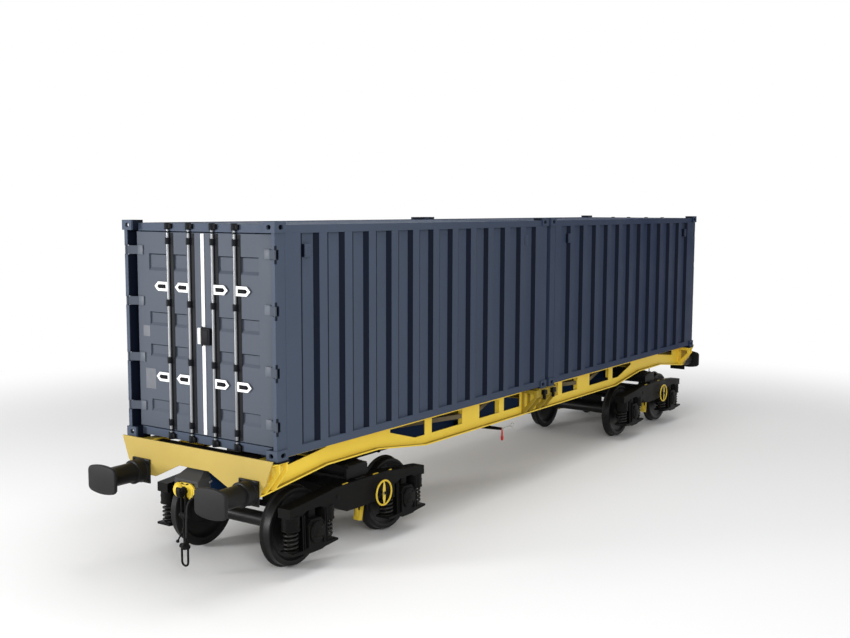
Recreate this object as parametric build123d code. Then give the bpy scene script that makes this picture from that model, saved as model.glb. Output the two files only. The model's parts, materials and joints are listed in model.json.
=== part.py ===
from build123d import *
import math
import os

# A bogie flat wagon for two twenty-foot containers, standing on its wheels.
# Millimetres, +X along the wagon, +Z up, origin on the floor under its middle.

# Containers: driving sizes
BOX_LENGTH = 6058
BOX_WIDTH = 2438
BOX_HEIGHT = 2591
BOX_GAP = 76
BOX_X = (BOX_LENGTH + BOX_GAP) / 2
CASTING_LENGTH = 178
CASTING_WIDTH = 162
CASTING_HEIGHT = 118
CASTING_WALL = 28
HOLE_IN_X = 102.5
HOLE_IN_Y = 89.5
SLOT_LENGTH = 124
SLOT_WIDTH = 63.5
SKIN_INSET = 18
POST_WIDTH = 52
RAIL_WIDTH = 60
RAIL_LIFT = 27
LOW_RAIL_DEPTH = 93
HIGH_RAIL_DEPTH = 90
RAIL_TOP_DROP = 35
WALL_THICK = 4
FLOOR_THICK = 28
BEARERS = 13
BEARER_WIDTH = 60

# Container doors: driving sizes
LEAF_INSET = 107
LEAF_THICK = 40
LEAF_MARGIN = 15
LEAF_GAP = 64
HINGE_INSET = 30
KNUCKLE_R = 13
KNUCKLE_HALF = 50
HINGE_HALF = 56
HINGE_SHARES = (0.1455, 0.3717, 0.631, 0.8641)
ROD_INSET = 90
ROD_R = 16
ROD_SHARES = (0.0779, 0.2198)
GUIDE_SHARES = (0.0872, 0.3717, 0.631, 0.9085)
HANDLE_SHARES = (0.2914, 0.7032)
POCKET_SHARES = ((0.1235, 0.1814), (0.3782, 0.4361), (0.521, 0.5847), (0.7719, 0.8491))
POCKET_ACROSS = ((0.1025, 0.2133), (0.2338, 0.361))
POCKET_DEPTH = 20

# Wheels and bogies: driving sizes
BOGIE_SETBACK = 1720
WHEELBASE = 1800
TREAD_R = 460
FLANGE_DEPTH = 30
FLANGE_WIDE = 30
RIM_WIDTH = 135
RIM_THICK = 62
WEB_DISH = 46
WHEEL_BACK_Y = 680
HUB_R = 130
AXLE_R = 80
JOURNAL_R = 65
JOURNAL_END_Y = 1095
RUNNING_GAP = 0.05
SEAT_GAP = 0.3
FRAME_SIDE_Y = 1000
FRAME_SIDE_WIDTH = 180
FRAME_SIDE_TOP = 910
FRAME_SIDE_REACH = 410
ARM_TOP = 825
ARM_LOW = 712
BOWL_FLOOR = 815
PIVOT_R = 140
SPRING_DX = 300
SPRING_R = 92
SPRING_LOW = 315
SPRING_TOP = 555
POT_R = 106
HANDWHEEL_DX = 355
HANDWHEEL_R = 152
HANDWHEEL_Z = 672

# Blue centre sill and its bolsters: driving sizes
SILL_WIDTH = 360
SILL_BOTTOM = 875
SILL_DEPTH = 355
SILL_LIP = 14
SILL_SETBACK = 80
CAP_LENGTH = 195
BOLSTER_HALF_X = 200
BOLSTER_BOTTOM = 930
BEAM_TOP = 1090
SADDLE_RISE = 115
PIPE_R = 17

# Yellow upper frame: driving sizes
FRAME_SETBACK = 1670
CROSS_DEPTH = 200
WEB_INSET = 275
WEB_THICK = 12
FLANGE_WIDTH = 150
FLANGE_THICK = 18
SIDE_DEPTH = 385
SIDE_SHALLOW = 250
HEADSTOCK_CLEAR = 74
HEADSTOCK_THICK = 20
HEADSTOCK_RISE = 40
SEAT_THICK = 20
PIN_R = 28
PIN_HEIGHT = 85

# Buffers: driving sizes
BUFFER_Y = 875
BUFFER_DROP = 340
BUFFER_LENGTH = 600
HEAD_WIDTH = 470
HEAD_HEIGHT = 340
HEAD_THICK = 45

# Places worked out from them
AXLE_Z = TREAD_R + FLANGE_DEPTH
AXLE_DX = WHEELBASE / 2
FRAME_SIDE_END = AXLE_DX + FRAME_SIDE_REACH
SILL_TOP = SILL_BOTTOM + SILL_DEPTH
FRAME_TOP = SILL_TOP + CROSS_DEPTH
BOX_Z = FRAME_TOP + SEAT_THICK
HEADSTOCK_FACE_X = BOX_GAP / 2 + BOX_LENGTH + HEADSTOCK_CLEAR
SILL_END_X = HEADSTOCK_FACE_X - SILL_SETBACK
CAP_END_X = SILL_END_X + CAP_LENGTH
BOGIE_X = HEADSTOCK_FACE_X - BOGIE_SETBACK
FRAME_BAY = HEADSTOCK_FACE_X - FRAME_SETBACK
ROD_Y = [share * BOX_WIDTH for share in ROD_SHARES]
BUFFER_Z = FRAME_TOP - BUFFER_DROP
BUFFER_END_X = HEADSTOCK_FACE_X + BUFFER_LENGTH
WEB_Y = BOX_WIDTH / 2 - WEB_INSET
EDGE_Y = BOX_WIDTH / 2 - 4
PIN_X = BOX_GAP / 2 + BOX_LENGTH - HOLE_IN_X
PIN_INNER_X = BOX_GAP / 2 + HOLE_IN_X
PIN_Y = BOX_WIDTH / 2 - HOLE_IN_Y

os.makedirs("parts", exist_ok=True)


def block(x0, x1, y0, y1, z0, z1):
    """A box between two corners."""
    return Pos((x0 + x1) / 2, (y0 + y1) / 2, (z0 + z1) / 2) * Box(x1 - x0, y1 - y0, z1 - z0)


def rod(radius, start, end):
    """A round bar between two points."""
    a, b = Vector(*start), Vector(*end)
    plane = Plane(origin=a, z_dir=b - a)
    return plane * Cylinder(radius, (b - a).length, align=(Align.CENTER, Align.CENTER, Align.MIN))


def side_plate(points, y0, y1):
    """A plate drawn in X and Z, between two places across the wagon."""
    face = make_face(Polyline(*points, close=True))
    return extrude(Plane(origin=(0, y1, 0), x_dir=(1, 0, 0), z_dir=(0, -1, 0)) * face, y1 - y0)


def end_plate(points, x0, x1):
    """A plate drawn in Y and Z, between two places along the wagon."""
    face = make_face(Polyline(*points, close=True))
    return extrude(Plane(origin=(x0, 0, 0), x_dir=(0, 1, 0), z_dir=(1, 0, 0)) * face, x1 - x0)


def flat_plate(points, z0, z1):
    """A plate drawn in X and Y, between two heights."""
    face = make_face(Polyline(*points, close=True))
    return extrude(Plane(origin=(0, 0, z0)) * face, z1 - z0)


def flip_x(shape):
    """The same piece at the wagon's other end."""
    return mirror(shape, about=Plane.YZ)


def flip_y(shape):
    """The same piece on the wagon's other side."""
    return mirror(shape, about=Plane.XZ)


def flip_about(shape, x):
    """The mirror image of a piece about a plane across the wagon at x."""
    return mirror(shape, about=Plane(origin=(x, 0, 0), z_dir=(1, 0, 0)))


def four(shape):
    """One piece for each corner of the wagon."""
    pair = [shape, flip_y(shape)]
    return pair + [flip_x(piece) for piece in pair]


def mirrored(points):
    """Half an outline and its mirror image, as one outline."""
    return points + [(-a, b) for a, b in reversed(points) if a != 0]


def save(name, shapes):
    """Write one node of the part."""
    solids = [solid for shape in shapes for solid in shape.solids()]
    export_step(Compound(children=solids), f"parts/{name}.step")


# Centre sill: a welded box beam with narrow flange lips top and bottom.
half_sill = SILL_WIDTH / 2
web_side = half_sill - SILL_LIP
sill_section = mirrored([(0, SILL_TOP), (half_sill, SILL_TOP), (half_sill, SILL_TOP - SILL_LIP),
                         (web_side, SILL_TOP - SILL_LIP), (web_side, SILL_BOTTOM + SILL_LIP),
                         (half_sill, SILL_BOTTOM + SILL_LIP), (half_sill, SILL_BOTTOM), (0, SILL_BOTTOM)])
save("centre_sill", [end_plate(sill_section, -SILL_END_X, SILL_END_X)])

# Sill end caps: hoods that slope down to an arch over the draw hook.
CAP_HALF = half_sill + 10
CAP_LOW = SILL_BOTTOM + 50
ARCH_Z = SILL_TOP - 140
ARCH_HALF = 130
cap = side_plate([(SILL_END_X, CAP_LOW), (SILL_END_X, SILL_TOP - 2), (SILL_END_X + 30, SILL_TOP - 2),
                  (CAP_END_X, ARCH_Z + 30), (CAP_END_X, CAP_LOW)], -CAP_HALF, CAP_HALF)
cap &= end_plate(mirrored([(0, SILL_TOP), (CAP_HALF - 60, SILL_TOP), (CAP_HALF, SILL_TOP - 95),
                           (CAP_HALF, CAP_LOW), (0, CAP_LOW)]), SILL_END_X, CAP_END_X)
ARCH_START_X = CAP_END_X - 120
cap -= block(ARCH_START_X, CAP_END_X + 1, -ARCH_HALF, ARCH_HALF, CAP_LOW - 1, ARCH_Z)
save("sill_end_caps", [cap, flip_x(cap)])

# Hook mouths: yellow oblong plates across the arches, behind the hooks.
HOOK_Z = 1000
MOUTH_THICK = 22
mouth_plane = Plane(origin=(CAP_END_X, 0, HOOK_Z), x_dir=(0, 1, 0), z_dir=(1, 0, 0))
mouth = extrude(mouth_plane * SlotOverall(2 * ARCH_HALF + 40, 180), MOUTH_THICK)
save("hook_mouths", [mouth, flip_x(mouth)])

# Draw hooks: a flat hook forged on a square shank, out of the mouth plate.
HOOK_HALF = 24
hook_x = CAP_END_X + MOUTH_THICK
nose_x = CAP_END_X + 190
hook_outline = [(hook_x, HOOK_Z - 30), (nose_x - 130, HOOK_Z - 30), (nose_x - 110, HOOK_Z - 55),
                (nose_x - 40, HOOK_Z - 60), (nose_x, HOOK_Z - 20), (nose_x, HOOK_Z + 45),
                (nose_x - 30, HOOK_Z + 70), (nose_x - 50, HOOK_Z + 40), (nose_x - 45, HOOK_Z + 5),
                (nose_x - 75, HOOK_Z - 5), (nose_x - 100, HOOK_Z + 30), (hook_x, HOOK_Z + 35)]
hook = side_plate(hook_outline, -HOOK_HALF, HOOK_HALF)
save("draw_hooks", [hook, flip_x(hook)])

# Screw couplings: two links from the hook, a screw between two nuts, and a shackle.
LINK_X = nose_x - 150
LINK_THICK = 18
NUT_Z = (720, 360)
links = block(LINK_X - 14, LINK_X + 14, -HOOK_HALF - LINK_THICK, -HOOK_HALF, NUT_Z[0] - 20, HOOK_Z + 20)
links += block(LINK_X - 14, LINK_X + 14, HOOK_HALF, HOOK_HALF + LINK_THICK, NUT_Z[0] - 20, HOOK_Z + 20)
for z in NUT_Z:
    links += block(LINK_X - 26, LINK_X + 26, -75, 75, z - 26, z + 26)
links += rod(19, (LINK_X, 0, NUT_Z[0]), (LINK_X, 0, NUT_Z[1]))
shackle_low = mirrored([(0, 120), (32, 128), (55, 160), (62, NUT_Z[1] - 20), (0, NUT_Z[1] - 20)])
shackle_hole = mirrored([(0, 148), (18, 152), (32, 172), (38, NUT_Z[1]), (0, NUT_Z[1])])
links += end_plate(shackle_low, LINK_X - 12, LINK_X + 12) - end_plate(shackle_hole, LINK_X - 13, LINK_X + 13)
save("screw_couplings", [links, flip_x(links)])


# Bolsters: a lower beam to the side bearers and a saddle bridging the sill.
def bolster(x):
    """One bolster, its saddle open below so that the sill passes through."""
    saddle_top = SILL_TOP + SADDLE_RISE
    beam_end = FRAME_SIDE_Y + 10
    outline = mirrored([(0, saddle_top), (640, saddle_top), (820, BEAM_TOP + 10), (beam_end, BEAM_TOP - 30),
                        (beam_end, BOLSTER_BOTTOM), (half_sill, BOLSTER_BOTTOM), (half_sill, SILL_TOP),
                        (0, SILL_TOP)])
    body = end_plate(outline, x - BOLSTER_HALF_X, x + BOLSTER_HALF_X)
    for side in (1, -1):
        for face in (-1, 1):
            inner = x + face * (BOLSTER_HALF_X - 60)
            outer = x + face * (BOLSTER_HALF_X + 1)
            y0, y1 = sorted((side * (half_sill + 40), side * (beam_end - 40)))
            body -= block(min(inner, outer), max(inner, outer), y0, y1, BOLSTER_BOTTOM + 30, BEAM_TOP - 70)
        for face in (-1, 1):
            inner = x + face * (BOLSTER_HALF_X - 45)
            outer = x + face * (BOLSTER_HALF_X + 1)
            panel = [(side * (half_sill + 60), saddle_top - 45), (side * 590, saddle_top - 45),
                     (side * 660, BEAM_TOP + 20), (side * (half_sill + 60), BEAM_TOP + 20)]
            body -= end_plate(panel, min(inner, outer), max(inner, outer))
    return body


save("bolsters", [bolster(BOGIE_X), flip_x(bolster(BOGIE_X))])

# Centre pivots: a disc under the sill that turns in the bogie's bowl.
pivot_low = BOWL_FLOOR + SEAT_GAP
pivot = Pos(BOGIE_X, 0, (SILL_BOTTOM + pivot_low) / 2) * Cylinder(PIVOT_R, SILL_BOTTOM - pivot_low)
save("centre_pivots", [pivot, flip_x(pivot)])

# Brake pipe: along the sill's lower edge, in clips.
PIPE_Y = -(half_sill + PIPE_R + 2)
PIPE_Z = SILL_BOTTOM - 8
PIPE_END_X = 0.8 * BOGIE_X
CLIPS = 7
CLIP_HALF = 20
pipe = rod(PIPE_R, (-PIPE_END_X, PIPE_Y, PIPE_Z), (PIPE_END_X, PIPE_Y, PIPE_Z))
for index in range(CLIPS):
    clip_x = (index - (CLIPS - 1) / 2) * 2 * PIPE_END_X / (CLIPS + 0.2)
    pipe += block(clip_x - CLIP_HALF, clip_x + CLIP_HALF, PIPE_Y - PIPE_R - 6, -half_sill + 40,
                  SILL_BOTTOM - PIPE_R - 14, SILL_BOTTOM)
save("brake_pipe", [pipe])

# Brake hoses: from a cock under the sill's end down in a slack curve.
HOSE_R = 10
hose_route = [(CAP_END_X, -165, 960), (CAP_END_X + 140, -165, 960), (CAP_END_X + 150, -150, 700),
              (CAP_END_X + 120, -110, 480)]


def bend_radii(route):
    """The bend radius at each inner point of a route: nine tenths of what its shorter run has room for."""
    radii = []
    for before, here, after in zip(route, route[1:], route[2:]):
        first, second = Vector(*here) - Vector(*before), Vector(*after) - Vector(*here)
        half_turn = math.radians(first.get_angle(second)) / 2
        radii.append(0.45 * min(first.length, second.length) / math.tan(half_turn))
    return radii


hose_radii = bend_radii(hose_route)
print("brake hose bend radii", [round(value) for value in hose_radii])
hose_line = FilletPolyline(*hose_route, radius=hose_radii)
hose = sweep(Plane(origin=hose_route[0], z_dir=hose_line % 0) * Circle(HOSE_R), path=hose_line)
save("brake_hose_far", [hose])
save("brake_hose_near", [flip_x(hose)])

# Brake changeover: a tapered arm to the wagon's edge with a red lever.
ARM_X = -1000
ARM_HALF = 30
ARM_TIP_Y = -1000
arm_outline = [(-web_side, SILL_BOTTOM + 85), (-web_side, SILL_BOTTOM + SILL_LIP),
               (-half_sill, SILL_BOTTOM + SILL_LIP), (ARM_TIP_Y, SILL_BOTTOM + 45), (ARM_TIP_Y, SILL_BOTTOM + 75)]
save("changeover_arm", [end_plate(arm_outline, ARM_X - ARM_HALF, ARM_X + ARM_HALF)])
lever = side_plate([(ARM_X - 12, SILL_BOTTOM + 75), (ARM_X - 18, SILL_BOTTOM - 70), (ARM_X + 18, SILL_BOTTOM - 70),
                    (ARM_X + 12, SILL_BOTTOM + 75)], ARM_TIP_Y - 12, ARM_TIP_Y)
save("changeover_lever", [lever])

# Side sills: deep in the middle, shallow over the bogies, with windows in the web.
BEND_SETBACK = 70
SHALLOW_HALF = 500
SLOPE_SETBACK = 1540
WINDOW_SHARES = ((0.0844, 0.1911), (0.2222, 0.3444), (0.4444, 0.6133))
TAPER_SHARES = (0.649, 0.7, 0.8222)
SLOT_SHARES = (1.1, 1.26)
sill_end = HEADSTOCK_FACE_X - HEADSTOCK_THICK
web_in = WEB_Y - WEB_THICK / 2
web_out = WEB_Y + WEB_THICK / 2
flange_in = WEB_Y - FLANGE_WIDTH / 2
flange_out = WEB_Y + FLANGE_WIDTH / 2


def side_sill():
    """The sill on the +Y side, symmetric about the wagon's middle."""
    deep, shallow = FRAME_TOP - SIDE_DEPTH, FRAME_TOP - SIDE_SHALLOW
    bottom = [(0, deep), (FRAME_BAY - SLOPE_SETBACK, deep), (FRAME_BAY - SHALLOW_HALF, shallow),
              (FRAME_BAY + SHALLOW_HALF, shallow), (sill_end - BEND_SETBACK, deep), (sill_end, deep)]
    web = side_plate(mirrored(bottom + [(sill_end, FRAME_TOP), (0, FRAME_TOP)]), web_in, web_out)
    top = block(-sill_end, sill_end, flange_in, flange_out, FRAME_TOP - FLANGE_THICK, FRAME_TOP)
    low = side_plate(bottom + [(x, z + FLANGE_THICK) for x, z in reversed(bottom)],
                     flange_in + 15, flange_out - 15)
    z0, z1 = FRAME_TOP - 255, FRAME_TOP - 55
    holes = [block(a * FRAME_BAY, b * FRAME_BAY, web_in - 1, web_out + 1, z0, z1) for a, b in WINDOW_SHARES]
    start, knee, tip = (share * FRAME_BAY for share in TAPER_SHARES)
    holes.append(side_plate([(start, z0), (knee, z0), (tip, z1 - 40), (tip, z1), (start, z1)],
                            web_in - 1, web_out + 1))
    inner, outer = (share * FRAME_BAY for share in SLOT_SHARES)
    holes.append(side_plate([(inner, z1 + 8), (outer, z1 - 80), (outer, z1 + 25), (inner, z1 + 25)],
                            web_in - 1, web_out + 1))
    body = web + top + low + flip_x(low)
    for hole in holes:
        body -= hole
        body -= flip_x(hole)
    return body


left_sill = side_sill()
save("side_sill_left", [left_sill])
save("side_sill_right", [flip_y(left_sill)])

# Headstocks: one thick plate at each end, notched over the centre sill.
t = FRAME_TOP
headstock = end_plate(mirrored([(0, t + HEADSTOCK_RISE), (EDGE_Y, t + HEADSTOCK_RISE), (EDGE_Y - 104, t - 235),
                                (EDGE_Y - 168, t - 300), (EDGE_Y - 205, t - SIDE_DEPTH), (640, t - SIDE_DEPTH),
                                (half_sill + 60, t - CROSS_DEPTH), (0, t - CROSS_DEPTH)]),
                      sill_end, HEADSTOCK_FACE_X)
save("headstocks", [headstock, flip_x(headstock)])

# Cross members: I-beams between the side sills, standing on the centre sill.
CROSS_HALF = 70
CROSS_X = [share * FRAME_BAY for share in (0, 0.3944, 0.9, 1.0889)]


def cross_member(x):
    """One I-section cross member, cut round the side sill's flanges."""
    body = block(x - CROSS_HALF, x + CROSS_HALF, -flange_in, flange_in, FRAME_TOP - 15, FRAME_TOP)
    body += block(x - CROSS_HALF, x + CROSS_HALF, -flange_in, flange_in, SILL_TOP, SILL_TOP + 15)
    outline = mirrored([(0, SILL_TOP), (flange_in, SILL_TOP), (flange_in, SILL_TOP + FLANGE_THICK),
                        (web_in, SILL_TOP + FLANGE_THICK),
                        (web_in, FRAME_TOP - FLANGE_THICK), (flange_in, FRAME_TOP - FLANGE_THICK),
                        (flange_in, FRAME_TOP), (0, FRAME_TOP)])
    return body + end_plate(outline, x - 8, x + 8)


members = [cross_member(sign * x) for x in CROSS_X for sign in (1, -1) if x or sign > 0]
save("cross_members", members)

# Frame braces: olive diagonal angle bars from the side sills to the cross members.
BRACE_WIDTH = 90
BRACE_Z = FRAME_TOP - 120
brace_low, brace_high = BRACE_Z - 60, BRACE_Z


def brace(start, end):
    """One flat bar standing on edge between two plan points, with its width in plan."""
    a, b = Vector(*start, 0), Vector(*end, 0)
    across = (b - a).normalized().cross(Vector(0, 0, 1)) * (BRACE_WIDTH / 2)
    corners = [a + across, b + across, b - across, a - across]
    return flat_plate([(p.X, p.Y) for p in corners], brace_low, brace_high)


first, second, third = CROSS_X[0], CROSS_X[1], CROSS_X[2]
bay = block(first + 8, second - 8, -web_in, web_in, brace_low, brace_high)
long_bay = block(second + 8, third - 8, -web_in, web_in, brace_low, brace_high)
braces = []
for sign in (1, -1):
    braces.append((brace((first - 100, sign * 260), (second + 100, sign * (web_in + 60))) & bay))
    braces.append((brace((second - 100, sign * (web_in + 60)), (third + 100, sign * 260)) & long_bay))
save("frame_braces", braces + [flip_x(piece) for piece in braces])

# End bars: black bearer bars across the frame over the bogies.
BAR_X = [share * FRAME_BAY for share in (1.1356, 1.3089)]
BAR_HALF = 40
end_bars = [block(x - BAR_HALF, x + BAR_HALF, -web_in, web_in, FRAME_TOP - 110, FRAME_TOP - FLANGE_THICK)
            for x in BAR_X]
save("end_bars", end_bars + [flip_x(piece) for piece in end_bars])

# Corner and middle brackets: outriggers that carry the containers' corners.
MIDDLE_HALF = 330
DECK_THICK = 12


def gusset(x, thick):
    """A triangular plate outside the side sill, with a triangular hole."""
    outline = [(flange_out, t - DECK_THICK), (EDGE_Y, t - DECK_THICK), (EDGE_Y, t - 110), (web_out + 60, t - 365),
               (web_out, t - 365), (web_out, t - 30), (flange_out, t - 30)]
    hole = [(web_out + 42, t - 55), (EDGE_Y - 48, t - 55), (EDGE_Y - 48, t - 108), (web_out + 42, t - 290)]
    return end_plate(outline, x - thick / 2, x + thick / 2) - end_plate(hole, x - thick, x + thick)


corner = block(PIN_X - 90, sill_end, flange_out, EDGE_Y, t - DECK_THICK, t)
for x in (PIN_X - 60, PIN_X + 60):
    corner += gusset(x, 20)
middle = block(-MIDDLE_HALF, MIDDLE_HALF, flange_out, EDGE_Y, t - DECK_THICK, t)
middle += block(-MIDDLE_HALF, MIDDLE_HALF, EDGE_Y - DECK_THICK, EDGE_Y, t - 110, t)
seat_in = flange_out + 10
for inner, outer in ((BOX_GAP / 2 + 5, PIN_INNER_X + 85), (-PIN_INNER_X - 85, -BOX_GAP / 2 - 5)):
    middle += block(inner, outer, seat_in, EDGE_Y - 10, t, t + SEAT_THICK)
for x in (MIDDLE_HALF - 10, MIDDLE_HALF - 190):
    middle += gusset(x, 20) + gusset(-x, 20)
corner -= left_sill
middle -= left_sill
save("corner_brackets", four(corner))
save("middle_brackets", [middle, flip_y(middle)])

# Seats and pins: black plates with bright pins at the ends, and black pins folded down in the middle.
SEAT_HALF = 95
seat_out = EDGE_Y + 15
corner_seat = block(PIN_X - SEAT_HALF, PIN_X + SEAT_HALF, seat_in, seat_out, t, t + SEAT_THICK)
pin = Pos(PIN_X, PIN_Y, BOX_Z + PIN_HEIGHT / 2) * Cylinder(PIN_R, PIN_HEIGHT)
folded = block(PIN_INNER_X - 45, PIN_INNER_X + 45, EDGE_Y, EDGE_Y + 55, t - 75, t - 5)
folded += rod(PIN_R - 4, (PIN_INNER_X, EDGE_Y + PIN_R, t - 75), (PIN_INNER_X, EDGE_Y + PIN_R, t - 150))
save("container_seats", four(corner_seat) + four(folded))
save("container_pins", four(pin))

# Buffers: base plate, stepped casing and a rounded oblong head.
CASING_R = 137
CASING_LENGTH = 160
TUBE_R = 116
step_x = HEADSTOCK_FACE_X + CASING_LENGTH
head_x = BUFFER_END_X - HEAD_THICK
casing = block(HEADSTOCK_FACE_X, HEADSTOCK_FACE_X + 20, BUFFER_Y - 150, BUFFER_Y + 150,
               BUFFER_Z - 145, BUFFER_Z + 145)
casing += rod(CASING_R, (HEADSTOCK_FACE_X + 20, BUFFER_Y, BUFFER_Z), (step_x, BUFFER_Y, BUFFER_Z))
casing += rod(TUBE_R, (step_x, BUFFER_Y, BUFFER_Z), (head_x, BUFFER_Y, BUFFER_Z))
save("buffer_casings", four(casing))
half_w, half_h = HEAD_WIDTH / 2, HEAD_HEIGHT / 2
corner_in = 60
arch_drop = 20
corner_drop = 70
head_curve = []
for sx, sz in ((-1, 1), (1, -1)):
    side = [(sx * half_w, -sz * (half_h - corner_drop)), (sx * half_w, sz * (half_h - corner_drop)),
            (sx * (half_w - 22), sz * (half_h - 38)), (sx * (half_w - corner_in), sz * (half_h - arch_drop)),
            (0, sz * half_h), (-sx * (half_w - corner_in), sz * (half_h - arch_drop)),
            (-sx * (half_w - 22), sz * (half_h - 38)), (-sx * half_w, sz * (half_h - corner_drop))]
    head_curve += [Line(side[0], side[1]), ThreePointArc(*side[1:4]), ThreePointArc(*side[3:6]),
                   ThreePointArc(*side[5:8])]
head_plane = Plane(origin=(head_x, BUFFER_Y, BUFFER_Z), x_dir=(0, 1, 0), z_dir=(1, 0, 0))
head = extrude(head_plane * make_face(head_curve), HEAD_THICK)
save("buffer_heads", four(head))

# Wheelsets: axle, two dished wheels and journals turned as one piece.
rim_out = WHEEL_BACK_Y + RIM_WIDTH
SEAT_OUT = rim_out + 60
rim_in_r = TREAD_R - RIM_THICK
wheel_profile = [
    (0, AXLE_R), (WHEEL_BACK_Y + 5, AXLE_R), (WHEEL_BACK_Y + 5, HUB_R), (WHEEL_BACK_Y + WEB_DISH, HUB_R),
    (WHEEL_BACK_Y, rim_in_r), (WHEEL_BACK_Y, TREAD_R + FLANGE_DEPTH), (WHEEL_BACK_Y + FLANGE_WIDE, TREAD_R),
    (rim_out, TREAD_R), (rim_out, rim_in_r), (rim_out - WEB_DISH, HUB_R), (rim_out + 15, HUB_R),
    (rim_out + 15, 88), (SEAT_OUT, 88), (SEAT_OUT, JOURNAL_R), (JOURNAL_END_Y, JOURNAL_R)]


def wheelset(x):
    """One axle with its two wheels, at one place along the wagon."""
    plane = Plane(origin=(x, 0, AXLE_Z), x_dir=(0, 1, 0), z_dir=(-1, 0, 0))
    outline = wheel_profile + [(JOURNAL_END_Y, 0), (-JOURNAL_END_Y, 0)]
    outline += [(-y, r) for y, r in reversed(wheel_profile)]
    face = plane * make_face(Polyline(*outline, close=True))
    return revolve(face, Axis((x, 0, AXLE_Z), (0, 1, 0)))


# Bogies: side frames, a centre transom with a bowl, axle boxes, springs, brakes.
TRANSOM_HALF_X = 190
TRANSOM_LOW = 600
TRANSOM_TOP = BOWL_FLOOR
BOX_HALF_X = 140
BOX_IN_Y = 905
BOX_OUT_Y = 1120
COVER_OUT_Y = 1150
COVER_R = 123
CRADLE_REACH = SPRING_DX + SPRING_R + 6
frame_in = FRAME_SIDE_Y - FRAME_SIDE_WIDTH / 2
frame_out = FRAME_SIDE_Y + FRAME_SIDE_WIDTH / 2


def side_frame(x):
    """The cast side frame on the +Y side of a bogie, arched over the axle boxes, with spring pots below."""
    top, reach = FRAME_SIDE_TOP, FRAME_SIDE_END
    arch = ARM_LOW + 42
    outline = mirrored([(0, top), (520, top), (660, top - 22), (reach - 250, ARM_TOP + 22), (reach, ARM_TOP),
                        (reach, ARM_LOW), (AXLE_DX + SPRING_DX - POT_R, ARM_LOW), (AXLE_DX + 120, arch),
                        (AXLE_DX - 120, arch), (AXLE_DX - SPRING_DX + POT_R, ARM_LOW),
                        (AXLE_DX - SPRING_DX, ARM_LOW - 8),
                        (300, 578), (0, 572)])
    body = side_plate([(x + dx, z) for dx, z in outline], frame_in, frame_out)
    for axle in (-AXLE_DX, AXLE_DX):
        for dx in (-SPRING_DX, SPRING_DX):
            mid = x + axle + dx
            body += rod(POT_R, (mid, FRAME_SIDE_Y, SPRING_TOP), (mid, FRAME_SIDE_Y, ARM_LOW + 10))
    return body


def handwheel(x, side):
    """A brake handwheel facing outwards, on a spindle from the side frame."""
    y0 = side * (frame_out + 48)
    y1 = side * (frame_out + 72)
    ring = rod(HANDWHEEL_R + 12, (x, y0, HANDWHEEL_Z), (x, y1, HANDWHEEL_Z))
    ring -= rod(HANDWHEEL_R - 12, (x, y0, HANDWHEEL_Z), (x, y1, HANDWHEEL_Z))
    low, high = sorted((y0 + side * 6, y1 - side * 6))
    spoke = block(x - 22, x + 22, low, high, HANDWHEEL_Z - HANDWHEEL_R, HANDWHEEL_Z + HANDWHEEL_R)
    hub = rod(20, (x, side * frame_out, HANDWHEEL_Z), (x, y1, HANDWHEEL_Z))
    return ring + spoke + hub


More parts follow.
